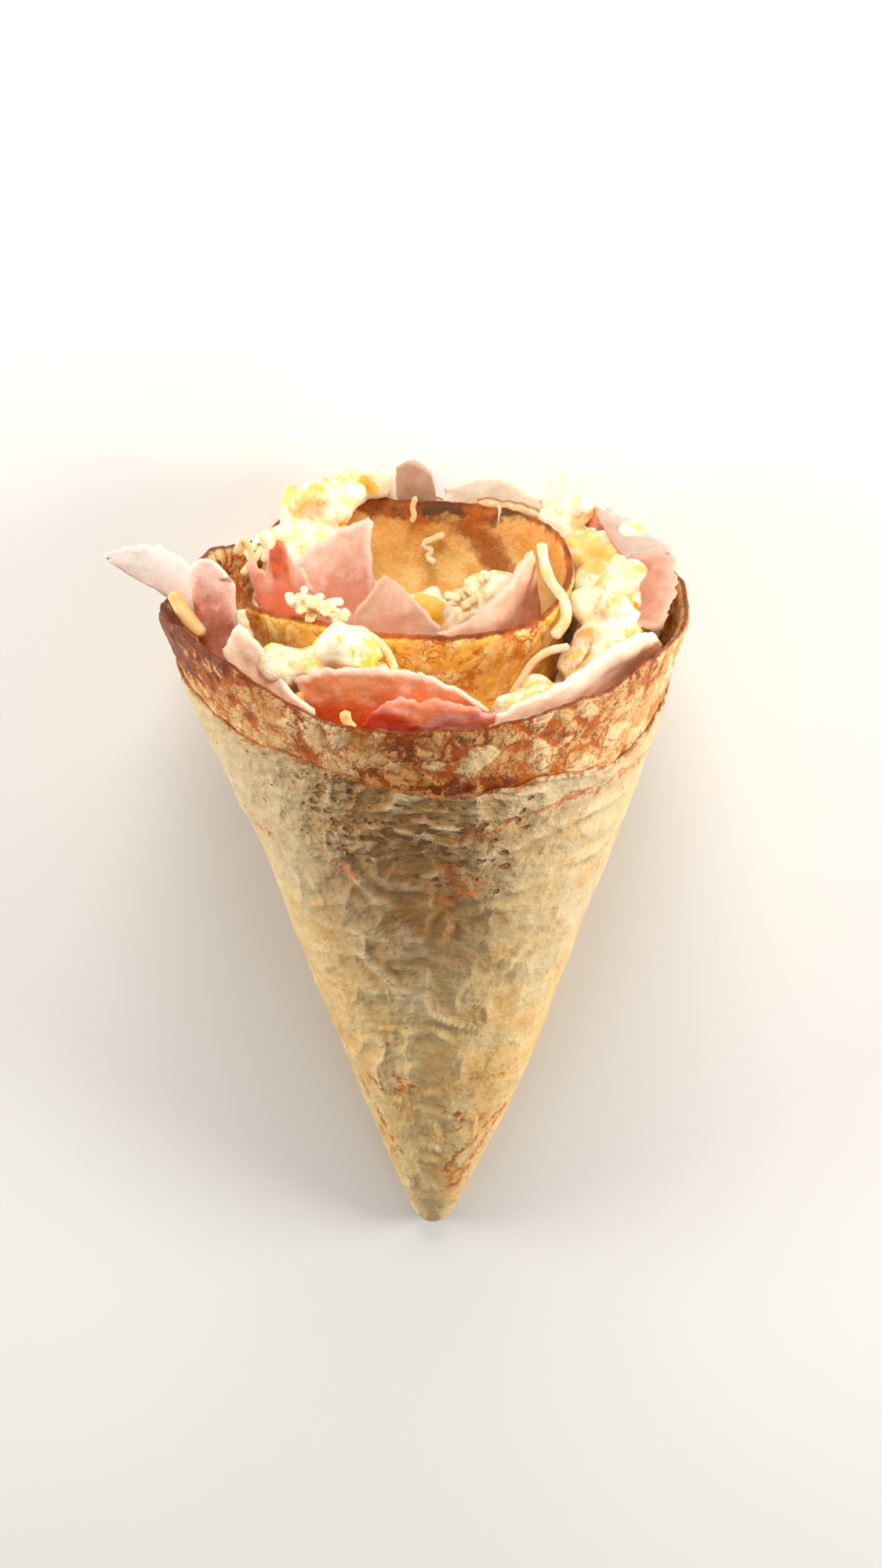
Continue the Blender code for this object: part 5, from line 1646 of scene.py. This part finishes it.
# %% A shred of cheese
CHEESE_SHREDS = {
    "cheese_strand": (
        (
            (0.0250, -0.0110, 0.0125), (0.0256, -0.0060, 0.0095), (0.0268, -0.0010, 0.0078),
            (0.0293, 0.0040, 0.0060), (0.0298, 0.0080, 0.0032), (0.0270, 0.0120, 0.0008),
        ),
    ),
    "cheese_ribbon": (
        (
            (0.0180, 0.0250, -0.0065), (0.0204, 0.0240, -0.0027), (0.0227, 0.0230, 0.0007),
            (0.0260, 0.0215, 0.0025), (0.0305, 0.0195, 0.0025),
        ),
    ),
    "cheese_pile": (
        ((-0.0270, 0.0150, 0.0120), (-0.0225, 0.0175, 0.0122), (-0.0180, 0.0205, 0.0112)),
        ((-0.0250, 0.0195, 0.0115), (-0.0224, 0.0170, 0.0122), (-0.0210, 0.0130, 0.0112)),
        ((-0.0215, 0.0215, 0.0110), (-0.0198, 0.0185, 0.0120), (-0.0165, 0.0160, 0.0112)),
    ),
    "cheese_zigzag": (
        (
            (0.0047, -0.0392, 0.0014), (0.0025, -0.0392, 0.0006), (-0.0003, -0.0390, -0.0008),
            (0.0014, -0.0386, -0.0022), (0.0007, -0.0380, -0.0036), (0.0027, -0.0370, -0.0047),
        ),
    ),
    "cheese_left": (
        ((-0.0395, -0.0310, 0.0010), (-0.0380, -0.0270, 0.0015), (-0.0370, -0.0220, 0.0000)),
        ((-0.0340, -0.0340, 0.0040), (-0.0362, -0.0280, 0.0020), (-0.0400, -0.0230, -0.0010)),
    ),
}


SHRED_GRID = 0.0007
SHRED_SIDES = 12
SHRED_WIDTH, SHRED_THICKNESS = 0.0017, 0.0012
OTHER_WIDTHS = {"cheese_strand": 0.0024, "cheese_zigzag": 0.0015}


def make_shred(name, line, width, thickness, seed, yellow=0.0):
    """A rod with a flattened round section along a line, closed at both ends."""
    long = length_of(line)
    columns = max(8, round(long / SHRED_GRID))
    rod, column, row = flat_sheet(name, columns, SHRED_SIDES)
    u, turn = column / columns, 2 * math.pi * row / SHRED_SIDES
    middle = along(line, u)
    ahead = along(line, np.clip(u + 0.03, 0, 1)) - along(line, np.clip(u - 0.03, 0, 1))
    ahead /= np.linalg.norm(ahead, axis=1)[:, None]
    across = np.cross(ahead, np.array((0.1, -0.8, 0.6)))
    across /= np.linalg.norm(across, axis=1)[:, None]
    facing = np.cross(across, ahead)
    to_end = np.minimum(u, 1 - u) * long
    round_end = np.sqrt(np.clip(1 - (1 - np.clip(to_end / (0.45 * width), 0, 1)) ** 2, 0, 1))
    uneven = 1 + 0.16 * swell(middle, 0.004, 2, seed)
    square = 1 / np.maximum(np.abs(np.cos(turn)) ** 3 + np.abs(np.sin(turn)) ** 3, 1e-6) ** (1 / 3)
    reach = (round_end * uneven * square)[:, None]
    sideways = across * (np.cos(turn) * width / 2)[:, None]
    upwards = facing * (np.sin(turn) * thickness / 2)[:, None]
    move_to(rod, middle + reach * (sideways + upwards))
    close_up(rod)
    push_out(rod, 0.00006 * swell(places(rod), 0.0009, 2, seed))
    mark(rod, "yellow", np.full(len(rod.data.vertices), yellow))
    return rod


shreds = {}
for number, (name, lines) in enumerate(CHEESE_SHREDS.items()):
    width = OTHER_WIDTHS.get(name, SHRED_WIDTH)
    rods = [
        make_shred(name + "_shred", line, width, SHRED_THICKNESS, number * 4.0 + k)
        for k, line in enumerate(lines)
    ]
    shreds[name] = join(rods[0], rods[1:])
    lay_down(shreds[name], "cheese", name)

# %% [markdown]
# More shreds and crumbs lie about: in the pocket, on the rim of the roll, over the back wall and
# between the slices of ham at the left. A loose shred has its width and its line, and two of them
# are yellow. The crumbs on the roll have their places to the right and over the mouth, and those
# in the pocket have the middle of their circle, its radius and their number.

# %% Loose shreds and crumbs
LOOSE_SHREDS = (
    (
        0.0012,
        (
            (-0.0019, -0.0429, 0.0092), (-0.0027, -0.0427, 0.0066), (-0.0024, -0.0422, 0.0046),
            (-0.0032, -0.0418, 0.0030),
        ),
    ),
    (0.0008, ((0.0164, -0.0372, 0.0095), (0.0166, -0.0370, 0.0072), (0.0164, -0.0368, 0.0048))),
    (
        0.0032,
        (
            (-0.0527, 0.0080, 0.0098), (-0.0512, 0.0095, 0.0073), (-0.0488, 0.0120, 0.0047),
            (-0.0458, 0.0150, 0.0029),
        ),
    ),
    (0.0022, ((-0.0157, 0.0500, 0.0034), (-0.0153, 0.0505, 0.0010), (-0.0136, 0.0510, -0.0008))),
    (
        0.0014,
        (
            (-0.0406, -0.0140, 0.0080), (-0.0392, -0.0140, 0.0118), (-0.0376, -0.0140, 0.0100),
            (-0.0370, -0.0138, 0.0060),
        ),
    ),
    (0.0014, ((-0.0352, -0.0145, 0.0130), (-0.0340, -0.0142, 0.0098), (-0.0346, -0.0138, 0.0062))),
    (
        0.0016,
        (
            (-0.0175, 0.0316, 0.0100), (-0.0120, 0.0322, 0.0118), (-0.0078, 0.0330, 0.0086),
            (-0.0056, 0.0338, 0.0040),
        ),
    ),
)
YELLOW_SHREDS = (2, 3)
THICK_SHARE = 0.6
ROLL_CRUMBS = (
    (-0.0251, 0.0150), (-0.0235, 0.0135), (-0.0219, 0.0123), (-0.0203, 0.0116), (-0.0187, 0.0103),
    (-0.0176, 0.0091), (-0.0227, 0.0098), (-0.0272, 0.0141), (-0.0262, 0.0128), (-0.0196, 0.0100),
    (-0.0160, 0.0096), (-0.0244, 0.0116),
)
ROLL_CRUMBS_FRONT = 0.0205
POCKET_CRUMBS = ((0.0125, -0.0110), 0.0075, 24)
HIGHEST_CRUMB = APEX_TO_MOUTH + 0.004


def loose_bit(right, front, over, dice, long, thick):
    """A short bent strip at a spot, as its width and its line, like a loose shred."""
    heading = dice.uniform(0, 2 * math.pi)
    step = (0.5 * long * math.sin(heading), 0.5 * long * math.cos(heading))
    bend, tilt = dice.uniform(-0.0007, 0.0007), dice.uniform(-0.0010, 0.0010)
    line = (
        (right - step[0], front - step[1], over - tilt),
        (right + bend, front - bend, over + abs(bend)),
        (right + step[0], front + step[1], over + tilt),
    )
    return thick, line


def pocket_bits(middle, reach, count, seed):
    """Bits that lie on whatever is under their spots."""
    dice = random.Random(seed)
    bits = []
    for _ in range(count):
        away, turn = reach * math.sqrt(dice.random()), dice.uniform(0, 2 * math.pi)
        right, front = middle[0] + away * math.sin(turn), middle[1] + away * math.cos(turn)
        hit = every_tree.ray_cast(Vector((right, -front, RAYS_FROM)), DOWN)[0]
        thick = dice.uniform(0.0010, 0.0018)
        if hit is not None and hit.z < HIGHEST_CRUMB:
            over = hit.z - APEX_TO_MOUTH + thick * 0.4 + dice.uniform(0, 0.0012)
            bits.append(loose_bit(right, front, over, dice, dice.uniform(0.0022, 0.0048), thick))
    return bits


dice = random.Random(57)
loose = list(LOOSE_SHREDS) + pocket_bits(*POCKET_CRUMBS, 51)
for right, over in ROLL_CRUMBS:
    front = ROLL_CRUMBS_FRONT + dice.uniform(-0.0008, 0.0014)
    long, thick = dice.uniform(0.0024, 0.0050), dice.uniform(0.0013, 0.0026)
    loose.append(loose_bit(right, front, over, dice, long, thick))
rods = [
    make_shred("cheese_crumbs", line, width, width * THICK_SHARE, 60.0 + k, float(k in YELLOW_SHREDS))
    for k, (width, line) in enumerate(loose)
]
crumbs = join(rods[0], rods[1:])
lay_down(crumbs, "cheese")
print(len(rods), "loose shreds and crumbs")

# %% Finish of the cheese
def grated_cheese():
    finish = Finish(
        "grated_cheese", IOR=1.42, Subsurface_Weight=0.25, Subsurface_Scale=0.002, Coat_Weight=0.1
    )
    slow, fine = finish.noise(0.006, 2.0), finish.noise(0.0008, 3.0, 0.6)
    base = finish.mix(slow.rise(0.35, 0.65), tint(238, 222, 196), tint(236, 206, 146))
    base = finish.mix(fine.rise(0.55, 0.75) * 0.35, base, tint(228, 186, 118))
    base = finish.mix(finish.read("yellow") * (0.55 + slow * 0.5).at_most(0.9), base, tint(236, 176, 86))
    grain = finish.bump(fine, 0.00015, 0.5)
    finish.wear(crumbs, *shreds.values(), Base_Color=base, Roughness=0.38 + fine * 0.2, Normal=grain)


grated_cheese()
print("the cheese is on")

# %% [markdown]
# ## Floor, light and camera
#
# The floor is a plain pale board. The light is soft and comes from both sides and from beyond the
# mouth, so that the flanks of the cone are a little brighter than the middle.

# %% Floor and light
FLOOR_SIZE = 3.0
WARM_WHITE = (1.0, 0.97, 0.92)
MOUTH = (0.0, 0.06, 0.06)


def soft_light(name, place, size, watts):
    """A round lamp that shines on the mouth of the cone."""
    bpy.ops.object.light_add(type="AREA", location=place)
    lamp = bpy.context.object
    lamp.name = name
    lamp.data.shape = "DISK"
    lamp.data.size = size
    lamp.data.energy = watts
    lamp.data.color = WARM_WHITE
    lamp.rotation_euler = (Vector(MOUTH) - Vector(place)).to_track_quat("-Z", "Y").to_euler()


bpy.ops.object.select_all(action="DESELECT")
bpy.ops.mesh.primitive_plane_add(size=FLOOR_SIZE, location=(0, 0, 0))
floor = bpy.context.object
floor.name = "floor"
board = Finish("pale_board", Roughness=0.75)
clouds = board.mix(board.noise(0.2, 3.0), (0.72, 0.71, 0.69, 1), (0.76, 0.75, 0.73, 1))
board.wear(floor, Base_Color=clouds)

soft_light("left_window", (-0.66, 0.10, 0.20), 0.35, 4.2)
soft_light("right_window", (0.66, 0.06, 0.24), 0.35, 5.6)
soft_light("beyond_mouth", (0.0, 1.00, 0.78), 0.6, 12.0)
soft_light("overhead", (-0.05, 0.35, 0.90), 0.5, 1.2)

world = bpy.data.worlds.new("studio")
bpy.context.scene.world = world
world.use_nodes = True
sky = world.node_tree.nodes["Background"]
sky.inputs["Color"].default_value = (1.0, 1.0, 1.0, 1.0)
sky.inputs["Strength"].default_value = 0.22
bpy.context.scene.view_settings.view_transform = "Standard"
bpy.context.scene.view_settings.look = "None"
print("four soft lights")

# %% Camera
PHOTO_HEIGHT = 2000
FOCAL_PIXELS = 4800
SENSOR = 36
CAMERA_PLACE = (0.00872, 0.15816, 0.84570)
SEEN_FROM = math.radians(28.2)
bpy.ops.object.camera_add(location=CAMERA_PLACE)
camera = bpy.context.object
camera.rotation_euler = (HALF_ANGLE - SEEN_FROM, 0, 0)
camera.data.sensor_fit = "VERTICAL"
camera.data.sensor_height = SENSOR
camera.data.lens = SENSOR * FOCAL_PIXELS / PHOTO_HEIGHT
camera.data.clip_start = 0.01
bpy.context.scene.camera = camera
print("lens", round(camera.data.lens, 1), "mm")
